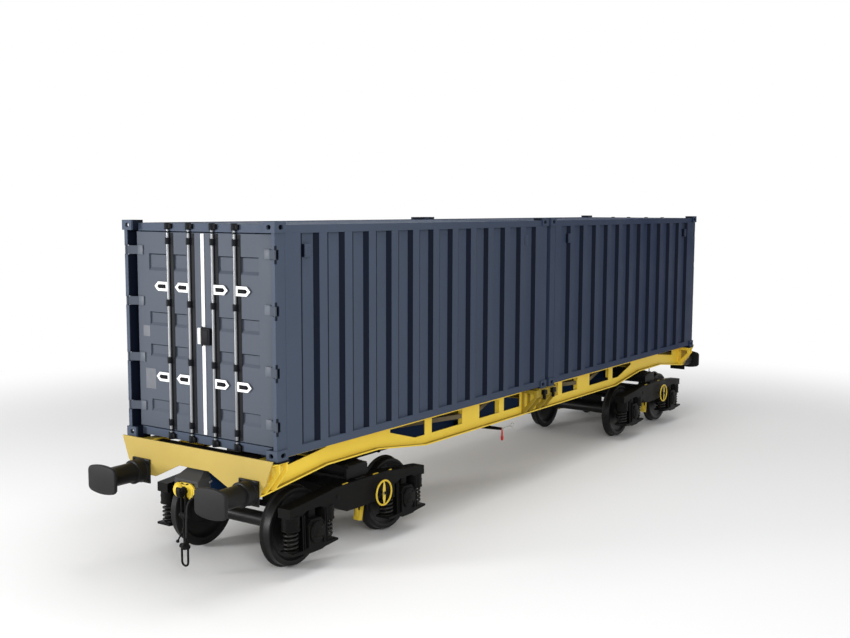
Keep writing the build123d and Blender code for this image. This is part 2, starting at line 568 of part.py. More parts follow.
def bogie(name, x):
    """Every node of one bogie, centred at x."""
    frame = side_frame(x) + flip_y(side_frame(x))
    frame += block(x - TRANSOM_HALF_X, x + TRANSOM_HALF_X, -frame_in, frame_in, TRANSOM_LOW, TRANSOM_TOP)
    ring_half = PIVOT_R + 45
    ring_cut = ring_half - 70
    corners = [(ring_half, ring_cut), (ring_cut, ring_half), (-ring_cut, ring_half), (-ring_half, ring_cut)]
    corners += [(-a, -b) for a, b in corners]
    bowl = flat_plate([(x + a, b) for a, b in corners], TRANSOM_TOP, TRANSOM_TOP + 40)
    frame += bowl - rod(PIVOT_R + SEAT_GAP, (x, 0, TRANSOM_TOP), (x, 0, TRANSOM_TOP + 41))
    for side in (1, -1):
        y = side * FRAME_SIDE_Y
        frame += block(x - 90, x + 90, y - 60, y + 60, FRAME_SIDE_TOP, BOLSTER_BOTTOM - SEAT_GAP)
    save(f"bogie_frame_{name}", [frame])

    boxes, springs = [], []
    for axle in (-AXLE_DX, AXLE_DX):
        ax = x + axle
        half = [(CRADLE_REACH, SPRING_LOW), (CRADLE_REACH, SPRING_LOW - 26), (BOX_HALF_X + 20, SPRING_LOW - 45),
                (110, SPRING_LOW - 60), (-110, SPRING_LOW - 60), (-BOX_HALF_X - 20, SPRING_LOW - 45),
                (-CRADLE_REACH, SPRING_LOW - 26), (-CRADLE_REACH, SPRING_LOW)]
        cradle = half + [(-BOX_HALF_X - 20, SPRING_LOW), (-BOX_HALF_X, SPRING_LOW + 30), (-BOX_HALF_X, AXLE_Z + 90),
                         (-85, AXLE_Z + 150), (85, AXLE_Z + 150), (BOX_HALF_X, AXLE_Z + 90),
                         (BOX_HALF_X, SPRING_LOW + 30), (BOX_HALF_X + 20, SPRING_LOW)]
        body = side_plate([(ax + dx, z) for dx, z in cradle], BOX_IN_Y, BOX_OUT_Y)
        body += rod(COVER_R, (ax, BOX_OUT_Y, AXLE_Z), (ax, COVER_OUT_Y, AXLE_Z))
        body -= rod(JOURNAL_R + RUNNING_GAP, (ax, BOX_IN_Y - 1, AXLE_Z), (ax, JOURNAL_END_Y + 2, AXLE_Z))
        boxes += [body, flip_y(body)]
        for dx in (-SPRING_DX, SPRING_DX):
            coil = Pos(ax + dx, FRAME_SIDE_Y, (SPRING_LOW + SPRING_TOP) / 2) * Cylinder(
                SPRING_R, SPRING_TOP - SPRING_LOW)
            springs += [coil, flip_y(coil)]
    save(f"axle_boxes_{name}", boxes)
    save(f"springs_{name}", springs)

    shoe_x = AXLE_DX - TREAD_R - 60
    shoe_y = WHEEL_BACK_Y + RIM_WIDTH / 2
    shoe = [(-45, AXLE_Z - 200), (-12, AXLE_Z - 200), (15, AXLE_Z - 150), (35, AXLE_Z - 90), (42, AXLE_Z),
            (35, AXLE_Z + 90), (-35, AXLE_Z + 110), (-60, AXLE_Z - 60)]
    gear = block(x + shoe_x - 30, x + shoe_x + 30, -shoe_y, shoe_y, AXLE_Z - 30, AXLE_Z + 30)
    for side in (1, -1):
        y = side * shoe_y
        gear += side_plate([(x + shoe_x + dx, z) for dx, z in shoe], y - 42, y + 42)
    gear += block(x + shoe_x - 15, x + shoe_x + 15, -200, 200, AXLE_Z, TRANSOM_LOW + 40)
    gear += block(x + TRANSOM_HALF_X, x + shoe_x + 15, -200, 200, TRANSOM_LOW, TRANSOM_LOW + 40)
    save(f"brake_gear_{name}", [gear, flip_about(gear, x)])

    save(f"handwheels_{name}", [handwheel(x + HANDWHEEL_DX, side) for side in (1, -1)])
    outward = 1 if x > 0 else -1
    save(f"wheelset_{name}_outer", [wheelset(x + outward * AXLE_DX)])
    save(f"wheelset_{name}_inner", [wheelset(x - outward * AXLE_DX)])


bogie("near", -BOGIE_X)
bogie("far", BOGIE_X)

# Container: places in its own frame, doors at +X, z from its underside.
half_l, half_b = BOX_LENGTH / 2, BOX_WIDTH / 2
skin_x, skin_y = half_l - SKIN_INSET, half_b - SKIN_INSET
rail_x = half_l - CASTING_LENGTH
bar_y = half_b - CASTING_WIDTH
low_top = RAIL_LIFT + LOW_RAIL_DEPTH
high_top = BOX_HEIGHT - RAIL_TOP_DROP
high_low = high_top - HIGH_RAIL_DEPTH
leaf_x = half_l - LEAF_INSET
leaf_back = leaf_x - LEAF_THICK
leaf_edge = skin_y - POST_WIDTH - LEAF_GAP
rod_x = half_l - ROD_INSET
hinge_x, hinge_y = half_l - HINGE_INSET, half_b - HINGE_INSET
GROOVES = 12
GROOVE_DEPTH = 38
groove_pitch = 2 * rail_x / (GROOVES + 0.67)


def oval(length, width):
    """A long hole's outline with cut corners."""
    a, b, c = length / 2, width / 2, width / 3.4
    half = [(a, b - c), (a - c, b), (c - a, b), (-a, b - c)]
    return half + [(-p, -q) for p, q in half]


def casting():
    """The lower corner casting at +X +Y: hollow, with a round-ended slot below and two side holes."""
    wall = CASTING_WALL
    outer = block(rail_x, half_l, bar_y, half_b, 0, CASTING_HEIGHT)
    outer -= block(rail_x + wall, half_l - wall, bar_y + wall, half_b - wall, wall, CASTING_HEIGHT - wall)
    mid_x, mid_y = half_l - HOLE_IN_X, half_b - HOLE_IN_Y
    outer -= Pos(mid_x, mid_y, -1) * extrude(SlotOverall(SLOT_LENGTH, SLOT_WIDTH), wall + 2)
    mid_z = CASTING_HEIGHT / 2
    outer -= side_plate([(mid_x + a, mid_z + b) for a, b in oval(80, 51)], half_b - wall - 1, half_b + 1)
    outer -= end_plate([(mid_y + a, mid_z + b) for a, b in oval(64, 51)], half_l - wall - 1, half_l + 1)
    return outer


def corner_post(door):
    """One post with its two castings, at +X +Y."""
    top_z = BOX_HEIGHT - CASTING_HEIGHT
    inner_y = skin_y - POST_WIDTH
    post = block(rail_x, skin_x, inner_y, skin_y, CASTING_HEIGHT, top_z)
    if door:
        post += block(rail_x, leaf_back - 5, inner_y - LEAF_GAP - 10, inner_y, CASTING_HEIGHT, top_z)
        for share in HINGE_SHARES:
            z = share * BOX_HEIGHT
            post -= block(hinge_x - 50, skin_x + 1, inner_y - 1, skin_y + 1, z - HINGE_HALF, z + HINGE_HALF)
            for side in (1, -1):
                z0, z1 = sorted((z + side * (KNUCKLE_HALF + SEAT_GAP), z + side * HINGE_HALF))
                post += block(hinge_x - KNUCKLE_R, hinge_x + 12, hinge_y - KNUCKLE_R, hinge_y + 12, z0, z1)
    low = casting()
    high = mirror(low, about=Plane.XY.offset(BOX_HEIGHT / 2))
    return post + low + high


def groove_line(half, grooves, pitch, width, slant, depth):
    """One edge of a pressed sheet: flat lands with trapezoid grooves, from -half to half."""
    line = [(-half, 0)]
    for index in range(grooves):
        middle = (index - (grooves - 1) / 2) * pitch
        line += [(middle - width / 2, 0), (middle + slant - width / 2, -depth),
                 (middle + width / 2 - slant, -depth), (middle + width / 2, 0)]
    line.append((half, 0))
    return line


def pressed_sheet(half, grooves, pitch, width, slant, depth):
    """The closed outline of a pressed sheet of wall thickness."""
    outer = groove_line(half, grooves, pitch, width, slant, depth)
    return outer + [(a, b - WALL_THICK) for a, b in reversed(outer)]


def door_leaf():
    """The leaf on the +Y side at +X: sunk panels with sloping sills, and four hinge blades."""
    leaf = block(leaf_back, leaf_x, 4, leaf_edge, low_top + LEAF_MARGIN, high_low - LEAF_MARGIN)
    for low, high in POCKET_SHARES:
        z0, z1 = low * BOX_HEIGHT, high * BOX_HEIGHT
        for y0, y1 in [[share * BOX_WIDTH for share in pair] for pair in POCKET_ACROSS]:
            leaf -= side_plate([(leaf_x + 1, z0), (leaf_x - POCKET_DEPTH, z0 + 40), (leaf_x - POCKET_DEPTH, z1 - 12),
                                (leaf_x + 1, z1)], y0, y1)
    pad_y = leaf_edge - 30
    blade = [(hinge_x - 3, hinge_y - 8), (hinge_x + 5, hinge_y), (leaf_x + 12, pad_y - 8), (leaf_x + 12, pad_y - 75),
             (leaf_x, pad_y - 75), (leaf_x, pad_y - 4)]
    for share in HINGE_SHARES:
        z = share * BOX_HEIGHT
        leaf += rod(KNUCKLE_R, (hinge_x, hinge_y, z - KNUCKLE_HALF), (hinge_x, hinge_y, z + KNUCKLE_HALF))
        leaf += flat_plate(blade, z - KNUCKLE_HALF, z + KNUCKLE_HALF)
    return leaf


def lock_rods(leaf_side):
    """Two upright lock rods of a leaf, with guides and five-sided handle plates."""
    pieces = []
    for y in ROD_Y:
        bar = rod(ROD_R, (rod_x, y, RAIL_LIFT + 8), (rod_x, y, high_top))
        for share in GUIDE_SHARES:
            z = share * BOX_HEIGHT
            bar += block(leaf_x, rod_x, y - 28, y + 28, z - 30, z + 30)
        for share in HANDLE_SHARES:
            z = share * BOX_HEIGHT
            outline = [(y + 5, z - 52), (y + 190, z - 52), (y + 235, z), (y + 190, z + 52), (y + 5, z + 52)]
            slot = [(y + 120 + a, z + b) for a, b in oval(110, 36)]
            bar += end_plate(outline, rod_x - 3, rod_x + 7) - end_plate(slot, rod_x - 4, rod_x + 8)
        pieces.append(bar)
    z0, z1 = 0.4574 * BOX_HEIGHT, 0.533 * BOX_HEIGHT
    y0, y1 = ((12, 130) if leaf_side == "left" else (40, 110))
    pieces.append(block(leaf_x, leaf_x + 26, y0, y1, z0, z1))
    return pieces


def keepers():
    """Blocks on the header and the sill bar that hold the lock rods' ends, one beside each rod end."""
    pieces = []
    for y in (*ROD_Y, *(-value for value in ROD_Y)):
        y0 = y + ROD_R + 8
        for z0, z1 in ((RAIL_LIFT + 5, RAIL_LIFT + 60), (high_top - 60, high_top - 5)):
            pieces.append(block(leaf_x, rod_x + 12, y0, y0 + 40, z0, z1))
    return pieces


def container(name, x, turn):
    """Every node of one container, with its doors at the wagon's end."""
    def put(node, pieces):
        save(f"{node}_{name}", [Pos(x, 0, BOX_Z) * (Rot(0, 0, turn) * piece) for piece in pieces])

    posts = [corner_post(True), flip_x(corner_post(False))]
    put("corner_posts", posts + [flip_y(piece) for piece in posts])

    side_low = block(-rail_x, rail_x, skin_y - RAIL_WIDTH, skin_y, RAIL_LIFT, low_top)
    side_high = block(-rail_x, rail_x, skin_y - RAIL_WIDTH, skin_y, high_low, high_top)
    low = side_low + flip_y(side_low)
    high = side_high + flip_y(side_high)
    for x0, x1 in ((rail_x, leaf_x), (-skin_x, -rail_x)):
        low += block(x0, x1, -bar_y, bar_y, RAIL_LIFT, low_top)
        high += block(x0, x1, -bar_y, bar_y, high_low, high_top)
    for x0 in (rail_x - 40, -rail_x):
        low += block(x0, x0 + 40, -skin_y + RAIL_WIDTH - 1, skin_y - RAIL_WIDTH + 1, RAIL_LIFT, low_top)
        high += block(x0, x0 + 40, -skin_y + RAIL_WIDTH - 1, skin_y - RAIL_WIDTH + 1, high_low, high_top)
    across = skin_y - RAIL_WIDTH
    floor_low = low_top - FLOOR_THICK
    bearer_pitch = 2 * rail_x / (BEARERS + 1)
    for index in range(BEARERS):
        mid = (index - (BEARERS - 1) / 2) * bearer_pitch
        low += block(mid - BEARER_WIDTH / 2, mid + BEARER_WIDTH / 2, -across - 1, across + 1, RAIL_LIFT + 2, floor_low)
    put("rails", [low, high])
    put("floor", [block(-rail_x + 40, rail_x - 40, -across, across, floor_low, low_top)])

    sheet = pressed_sheet(rail_x, GROOVES, groove_pitch, 250, 60, GROOVE_DEPTH)
    wall = extrude(Plane(origin=(0, skin_y - 2, low_top)) * make_face(Polyline(*sheet, close=True)),
                   high_low - low_top)
    put("side_walls", [wall, flip_y(wall)])
    end_sheet = pressed_sheet(skin_y - POST_WIDTH, 5, (skin_y - POST_WIDTH) / 2.84, 230, 60, GROOVE_DEPTH)
    end_plane = Plane(origin=(-skin_x + 2, 0, low_top), x_dir=(0, 1, 0), z_dir=(0, 0, 1))
    put("blind_wall", [extrude(end_plane * make_face(Polyline(*end_sheet, close=True)), high_low - low_top)])
    roof_sheet = pressed_sheet(rail_x - 40, GROOVES, groove_pitch, 250, 50, 20)
    roof = side_plate([(a, b + high_top - 6) for a, b in roof_sheet], -across, across)
    put("roof", [roof])

    leaf = door_leaf()
    put("door_left", [leaf])
    put("door_right", [flip_y(leaf)])
    put("lock_rods_left", lock_rods("left"))
    put("lock_rods_right", [flip_y(piece) for piece in lock_rods("right")])
    put("rod_keepers", keepers())


container("near", -BOX_X, 180)
container("far", BOX_X, 0)
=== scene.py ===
import json
import math
import bmesh
import bpy
from mathutils import Matrix, Vector

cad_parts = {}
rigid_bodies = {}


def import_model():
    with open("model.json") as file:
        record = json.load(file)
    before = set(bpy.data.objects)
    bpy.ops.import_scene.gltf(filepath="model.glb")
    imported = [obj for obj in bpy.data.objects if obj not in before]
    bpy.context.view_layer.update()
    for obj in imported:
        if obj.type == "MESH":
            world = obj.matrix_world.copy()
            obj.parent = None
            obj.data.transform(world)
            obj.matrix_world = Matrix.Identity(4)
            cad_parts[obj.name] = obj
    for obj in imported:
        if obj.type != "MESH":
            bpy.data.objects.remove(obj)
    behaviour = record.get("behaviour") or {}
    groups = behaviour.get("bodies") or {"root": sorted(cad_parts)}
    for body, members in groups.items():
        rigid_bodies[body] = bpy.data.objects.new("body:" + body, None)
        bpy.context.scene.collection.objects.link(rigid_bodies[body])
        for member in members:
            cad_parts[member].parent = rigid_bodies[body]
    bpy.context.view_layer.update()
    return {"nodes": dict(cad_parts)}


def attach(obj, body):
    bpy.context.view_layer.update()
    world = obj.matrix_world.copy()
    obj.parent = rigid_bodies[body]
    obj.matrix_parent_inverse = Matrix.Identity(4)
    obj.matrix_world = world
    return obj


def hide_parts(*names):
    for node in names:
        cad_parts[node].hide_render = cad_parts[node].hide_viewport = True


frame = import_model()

nodes = frame["nodes"]

# Camera: stands ahead of the near end and a little to the right of the wagon,
# just above the containers' roofs, with a moderately long lens.
CAMERA_SPOT = Vector((-14.506, -9.008, 4.194))
CAMERA_YAW = math.radians(34.836)
CAMERA_PITCH = math.radians(-5.925)
CAMERA_ROLL = math.radians(0.17)
camera = bpy.data.objects.new("camera", bpy.data.cameras.new("camera"))
studio = bpy.context.scene.collection.objects
studio.link(camera)
aim = Vector((math.cos(CAMERA_YAW) * math.cos(CAMERA_PITCH), math.sin(CAMERA_YAW) * math.cos(CAMERA_PITCH),
              math.sin(CAMERA_PITCH)))
camera.rotation_mode = "QUATERNION"
roll = Matrix.Rotation(CAMERA_ROLL, 4, "Z").to_quaternion()
camera.rotation_quaternion = aim.to_track_quat("-Z", "Y") @ roll
camera.location = CAMERA_SPOT
camera.data.sensor_width = 36
camera.data.lens = 45.45
camera.data.clip_end = 400
bpy.context.scene.camera = camera
bpy.context.scene.view_settings.view_transform = "Standard"


# Brake hoses: smooth rubber air hoses that hang from a cock beside each draw hook
# down to a cast coupling head. Rubber over cord, matt black.
def socket_group(name, takes, gives):
    """An empty shader group with named inputs (kind and start value) and outputs (kind)."""
    tree = bpy.data.node_groups.new(name, "ShaderNodeTree")
    for label, (kind, value) in takes.items():
        tree.interface.new_socket(label, in_out="INPUT", socket_type=kind).default_value = value
    for label, kind in gives.items():
        tree.interface.new_socket(label, in_out="OUTPUT", socket_type=kind)
    return tree, tree.nodes.new("NodeGroupInput"), tree.nodes.new("NodeGroupOutput")


def node(tree, kind, links=(), **values):
    """One shader node, with its plain settings, its sockets' values and what feeds them."""
    made = tree.nodes.new("ShaderNode" + kind)
    for label, value in values.items():
        setattr(made, label, value)
    for label, source in dict(links).items():
        if isinstance(source, bpy.types.NodeSocket):
            tree.links.new(source, made.inputs[label])
        else:
            made.inputs[label].default_value = source
    return made


NUMBER, COLOUR, ARROW = "NodeSocketFloat", "NodeSocketColor", "NodeSocketVector"

# Soft patches: slow colour drift over a surface with fine dust in it, and a fine skin for the bump.
drift, took, gave = socket_group("soft_patches", {
    "Colour": (COLOUR, (0.5, 0.5, 0.5, 1)), "Second": (COLOUR, (0.4, 0.4, 0.4, 1)),
    "Patch scale": (NUMBER, 1.2), "Skin scale": (NUMBER, 260), "Smooth": (NUMBER, 0.4),
    "Rough": (NUMBER, 0.55)},
    {"Color": COLOUR, "Roughness": NUMBER, "Height": NUMBER})
place = node(drift, "TexCoord").outputs["Object"]
patch = node(drift, "TexNoise", {"Vector": place, "Scale": took.outputs["Patch scale"], "Detail": 5.0,
                                 "Roughness": 0.62})
span = node(drift, "MapRange", {"Value": patch.outputs["Fac"], "From Min": 0.34, "From Max": 0.68})
skin = node(drift, "TexNoise", {"Vector": place, "Scale": took.outputs["Skin scale"], "Detail": 1.0})
blend = node(drift, "Mix", {0: span.outputs["Result"], 6: took.outputs["Colour"], 7: took.outputs["Second"]},
             data_type="RGBA")
sheen = node(drift, "MapRange", {"Value": patch.outputs["Fac"], "From Min": 0.3, "From Max": 0.7,
                                 "To Min": took.outputs["Smooth"], "To Max": took.outputs["Rough"]})
drift.links.new(blend.outputs[2], gave.inputs["Color"])
drift.links.new(sheen.outputs["Result"], gave.inputs["Roughness"])
drift.links.new(skin.outputs["Fac"], gave.inputs["Height"])

# Edge highlight: rounds a sharp corner's shading over a given width, and marks where the corner is; materials
# lay a lighter colour there as a painted highlight.
corner, took, gave = socket_group("edge_highlight", {"Width": (NUMBER, 0.004)}, {"Normal": ARROW, "Edge": NUMBER})
round_off = node(corner, "Bevel", {"Radius": took.outputs["Width"]}, samples=4)
flat = node(corner, "NewGeometry")
turn = node(corner, "VectorMath", {0: round_off.outputs["Normal"], 1: flat.outputs["Normal"]},
            operation="DOT_PRODUCT")
mark = node(corner, "MapRange", {"Value": turn.outputs["Value"], "From Min": 0.985, "From Max": 0.86})
corner.links.new(round_off.outputs["Normal"], gave.inputs["Normal"])
corner.links.new(mark.outputs["Result"], gave.inputs["Edge"])


def shade(tint):
    """A colour for a socket, from three numbers or from one for a grey."""
    return (tint, tint, tint, 1) if isinstance(tint, float) else (*tint, 1)


def coat(name, colour, second, edge, smooth=0.4, rough=0.55, specular=0.4, highlight=0.6, width=0.004, patch=1.2,
         skin=260, bump=0.03, metallic=0.0):
    """A material of one finish: patches, a skin and edges lightened as a painted highlight."""
    made = bpy.data.materials.new(name)
    made.use_nodes = True
    tree = made.node_tree
    shader = tree.nodes["Principled BSDF"]
    patches = node(tree, "Group", node_tree=drift)
    for label, value in (("Colour", shade(colour)), ("Second", shade(second)), ("Patch scale", patch),
                         ("Skin scale", skin), ("Smooth", smooth), ("Rough", rough)):
        patches.inputs[label].default_value = value
    edges = node(tree, "Group", node_tree=corner)
    edges.inputs["Width"].default_value = width
    # painted highlight: the corner mark, scaled by highlight, mixes the edge colour into the base
    share = node(tree, "Math", {0: edges.outputs["Edge"], 1: highlight}, operation="MULTIPLY")
    tint = node(tree, "Mix", {0: share.outputs[0], 6: patches.outputs["Color"], 7: shade(edge)},
                data_type="RGBA")
    skin_bump = node(tree, "Bump", {"Strength": bump, "Distance": 0.001, "Normal": edges.outputs["Normal"],
                                    "Height": patches.outputs["Height"]})
    tree.links.new(tint.outputs[2], shader.inputs["Base Color"])
    tree.links.new(patches.outputs["Roughness"], shader.inputs["Roughness"])
    tree.links.new(skin_bump.outputs["Normal"], shader.inputs["Normal"])
    shader.inputs["Metallic"].default_value = metallic
    shader.inputs["Specular IOR Level"].default_value = specular
    return made


def dress(material, *names):
    """Give CAD nodes their finish."""
    for name in names:
        nodes[name].data.materials.clear()
        nodes[name].data.materials.append(material)


def add_piece(name, shape, material, body, slot, smooth=35, stands_for=None):
    """Make an object of a bmesh or a curve, with its finish, and let it ride on a body."""
    if isinstance(shape, bmesh.types.BMesh):
        data = bpy.data.meshes.new(name)
        bmesh.ops.recalc_face_normals(shape, faces=shape.faces)
        shape.to_mesh(data)
        shape.free()
    else:
        data = shape
    data.materials.append(material)
    made = bpy.data.objects.new(name, data)
    studio.link(made)
    if isinstance(data, bpy.types.Mesh) and smooth:
        data.shade_smooth()
        data.set_sharp_from_angle(angle=math.radians(smooth))
    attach(made, body)
    if stands_for:
        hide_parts(stands_for)
    return made


def soften(shape, offset, segments=2, steep=0.5, verts=None):
    """Round every edge that is steeper than an angle, on the whole shape or on some of its points."""
    edges = shape.edges if verts is None else {edge for vert in verts for edge in vert.link_edges}
    bmesh.ops.bevel(shape, geom=[edge for edge in edges if edge.calc_face_angle(0) > steep], offset=offset,
                    segments=segments, affect="EDGES", profile=0.5, material=-1, clamp_overlap=True)


def drum(shape, start, end, radius, sides=20, end_radius=None, round_by=0.0):
    """A closed cylinder or cone between two points, its rims rounded if asked."""
    start, end = Vector(start), Vector(end)
    stand = Matrix.Translation((start + end) / 2) @ (end - start).to_track_quat("Z", "Y").to_matrix().to_4x4()
    made = bmesh.ops.create_cone(shape, cap_ends=True, segments=sides, radius1=radius, matrix=stand,
                                 radius2=radius if end_radius is None else end_radius,
                                 depth=(end - start).length)["verts"]
    if round_by:
        soften(shape, round_by, 2, 0.9, made)
    return made


rubber = coat("hose_rubber", (0.010, 0.010, 0.011), 0.016, 0.03, 0.55, 0.7, specular=0.2, skin=900, bump=0.06)
cast_black = coat(
    "black_steel", (0.0024, 0.0024, 0.0023), (0.0045, 0.0043, 0.004), 0.025, 0.42, 0.6, specular=0.08,
    highlight=0.5, width=0.006, patch=2.2, skin=340, bump=0.12)
ENDS = (("near", -1), ("far", 1))
HOSE_ROUTE = ((6.285, -0.165, 0.960), (6.425, -0.165, 0.960), (6.435, -0.150, 0.700), (6.405, -0.110, 0.480))
for end, way in ENDS:
    line = bpy.data.curves.new(f"brake_hose_line_{end}", "CURVE")
    line.dimensions = "3D"
    line.bevel_depth = 0.010
    line.bevel_resolution = 4
    line.resolution_u = 24
    route = line.splines.new("NURBS")
    spots = [(way * x, y, z) for x, y, z in HOSE_ROUTE]
    route.points.add(len(spots) - 1)
    for point, spot in zip(route.points, spots):
        point.co = (*spot, 1)
    route.order_u = 3
    route.use_endpoint_u = True
    hose = add_piece(f"hose_{end}", line, rubber, "underframe", "hose_rubber", stands_for=f"brake_hose_{end}")
    root, tip = spots[0], Vector(spots[3])
    down = (tip - Vector(spots[2])).normalized()
    stand = Matrix.Translation(tip) @ down.to_track_quat("Z", "Y").to_matrix().to_4x4()
    head = bmesh.new()
    drum(head, (0, 0, -0.022), (0, 0, 0.028), 0.0135, 24, 0.015)
    drum(head, (0, 0, 0.024), (0, 0, 0.040), 0.019, 24)
    drum(head, (0, -0.008, 0.066), (0, 0.018, 0.066), 0.034, 28, 0.038)
    soften(head, 0.003, 2, 0.6)
    bmesh.ops.transform(head, matrix=stand, verts=head.verts)
    coupling_head = add_piece(f"hose_head_{end}", head, cast_black, "underframe", "black_steel")
    cock = bmesh.new()
    drum(cock, root, (root[0] + way * 0.045, root[1], root[2]), 0.021, 6)
    plug_x = root[0] + way * 0.018
    drum(cock, (plug_x, root[1], root[2] - 0.01), (plug_x, root[1], root[2] + 0.045), 0.009, 12)
    soften(cock, 0.002)
    add_piece(f"hose_cock_{end}", cock, cast_black, "underframe", "black_steel")

# Floor and light: a pale seamless floor that runs out to white, a lamp low on the left ahead of
# the near end, a wide soft one to its right, a weaker one above, and an even white surround.
FLOOR_PALE = (0.93, 0.93, 0.93, 1)
surface = bmesh.new()
bmesh.ops.create_circle(surface, cap_ends=True, segments=96, radius=90)
floor_mesh = bpy.data.meshes.new("studio_floor")
surface.to_mesh(floor_mesh)
surface.free()
floor = bpy.data.objects.new("studio_floor", floor_mesh)
studio.link(floor)
paper = bpy.data.materials.new("studio_paper")
paper.use_nodes = True
tree = paper.node_tree
shader = tree.nodes["Principled BSDF"]
shader.inputs["Base Color"].default_value = FLOOR_PALE
shader.inputs["Roughness"].default_value = 0.9
shader.inputs["Specular IOR Level"].default_value = 0.1
far_off = node(tree, "VectorMath", {0: node(tree, "TexCoord").outputs["Object"]}, operation="LENGTH")
fade = node(tree, "MapRange", {"Value": far_off.outputs["Value"], "From Min": 7.5, "From Max": 15.0},
            interpolation_type="SMOOTHSTEP")
glow = node(tree, "Emission", {"Color": (1, 1, 1, 1), "Strength": 1.0})


def clear_rays(tree):
    """One for camera, mirror and see-through rays, nought for the rest."""
    rays = node(tree, "LightPath").outputs
    seen = node(tree, "Math", {0: rays["Is Camera Ray"], 1: rays["Is Glossy Ray"]}, operation="MAXIMUM")
    return node(tree, "Math", {0: seen.outputs[0], 1: rays["Is Transmission Ray"]},
                operation="MAXIMUM").outputs[0]


shown = node(tree, "Math", {0: clear_rays(tree), 1: fade.outputs["Result"]}, operation="MULTIPLY")
cover = node(tree, "MixShader", {"Fac": shown.outputs[0], 1: shader.outputs[0], 2: glow.outputs[0]})
tree.links.new(cover.outputs[0], tree.nodes["Material Output"].inputs["Surface"])
floor_mesh.materials.append(paper)

world = bpy.data.worlds.new("studio_air")
bpy.context.scene.world = world
world.use_nodes = True
tree = world.node_tree
air = tree.nodes["Background"]
air.inputs["Color"].default_value = (1, 1, 1, 1)
level = node(tree, "MapRange", {"Value": clear_rays(tree), "To Min": 0.50, "To Max": 1.0})
tree.links.new(level.outputs["Result"], air.inputs["Strength"])


def soft_lamp(name, spot, target, size, power):
    """A square lamp that faces a target."""
    lamp = bpy.data.lights.new(name, "AREA")
    lamp.size = size
    lamp.energy = power
    made = bpy.data.objects.new(name, lamp)
    studio.link(made)
    made.location = spot
    made.rotation_mode = "QUATERNION"
    made.rotation_quaternion = (Vector(target) - Vector(spot)).to_track_quat("-Z", "Y")


soft_lamp("lamp_left", (-17, 8, 3.5), (-5, 0, 2), 3, 1500)
soft_lamp("lamp_right", (-15, -12, 7), (-3, 0, 2), 6, 1100)
soft_lamp("lamp_top", (-1, -2, 15), (0, 0, 0), 9, 900)

# Centre sill: a long welded box beam of steel plate, sprayed deep blue and glossy, with a painted highlight
# line along the lips of every edge and painted shade on its top face. The first group below marks where a
# point lies deeper than a skin on both sides of a centre, to place painted shade in hollows.
depth, took, gave = socket_group("painted_shade_depth", {
    "Axis": (ARROW, (0, 1, 0)), "Centre": (NUMBER, 0.0), "Skin": (NUMBER, 1.2), "Fall": (NUMBER, 0.02)},
    {"Mask": NUMBER})
place = node(depth, "TexCoord").outputs["Object"]
along = node(depth, "VectorMath", {0: place, 1: took.outputs["Axis"]}, operation="DOT_PRODUCT")
shifted = node(depth, "Math", {0: along.outputs["Value"], 1: took.outputs["Centre"]}, operation="SUBTRACT")
reach = node(depth, "Math", {0: shifted.outputs[0]}, operation="ABSOLUTE")
inner = node(depth, "Math", {0: took.outputs["Skin"], 1: took.outputs["Fall"]}, operation="SUBTRACT")
mask = node(depth, "MapRange", {"Value": reach.outputs[0], "From Min": took.outputs["Skin"],
                                "From Max": inner.outputs[0]})
depth.links.new(mask.outputs["Result"], gave.inputs["Mask"])

# Facing: marks where a surface looks along an axis, to place painted shade on faces by the way they look.
facing, took, gave = socket_group("facing", {"Axis": (ARROW, (0, 0, -1))}, {"Mask": NUMBER})
look = node(facing, "VectorMath", {0: node(facing, "NewGeometry").outputs["Normal"], 1: took.outputs["Axis"]},
            operation="DOT_PRODUCT")
look = node(facing, "MapRange", {"Value": look.outputs["Value"], "From Min": 0.3, "From Max": 0.5})
facing.links.new(look.outputs["Result"], gave.inputs["Mask"])


def lay_painted_shade(material, groups, colour):
    """Lay a dark colour over a finish as painted shade, where a point lies deeper than every skin of a group
    of skins, or where its face looks along an axis."""
    tree = material.node_tree
    shader = tree.nodes["Principled BSDF"]
    total = None
    for skins in groups:
        product = None
        for skin in skins:
            low = node(tree, "Group", node_tree=facing if len(skin) == 3 else depth)
            for label, value in zip(("Axis", "Centre", "Skin", "Fall"), (skin,) if len(skin) == 3 else skin):
                low.inputs[label].default_value = value
            product = low.outputs["Mask"] if product is None else node(
                tree, "Math", {0: product, 1: low.outputs["Mask"]}, operation="MULTIPLY").outputs[0]
        total = product if total is None else node(
            tree, "Math", {0: total, 1: product}, operation="MAXIMUM").outputs[0]
    under = shader.inputs["Base Color"].links[0].from_socket
    laid = node(tree, "Mix", {0: total, 6: under, 7: (*colour, 1)}, data_type="RGBA")
    tree.links.new(laid.outputs[2], shader.inputs["Base Color"])
    return material


sill_paint = coat(
    "sill_blue", (0.0055, 0.0175, 0.050), (0.0075, 0.0215, 0.058), (0.26, 0.32, 0.44), 0.34, 0.46,
    specular=0.02, highlight=0.8, width=0.011, patch=0.7, bump=0.02)
# painted shade: the sill's upward faces take a near-black blue
dress(lay_painted_shade(sill_paint, [[(0, 0, 1)]], (0.004, 0.006, 0.012)), "centre_sill")


# Sill bolts: zinc-plated steel bolts with six-sided heads, screwed through the end hoods
# and along the pipe's clips.
def bolt_head(shape, spot, axis, radius=0.012, height=0.009):
    """One six-sided bolt head on a washer, standing off a surface along an axis."""
    spot, axis = Vector(spot), Vector(axis)
    drum(shape, spot, spot + axis * 0.002, radius * 1.35, 12)
    drum(shape, spot + axis * 0.002, spot + axis * height, radius, 6, radius * 0.9)


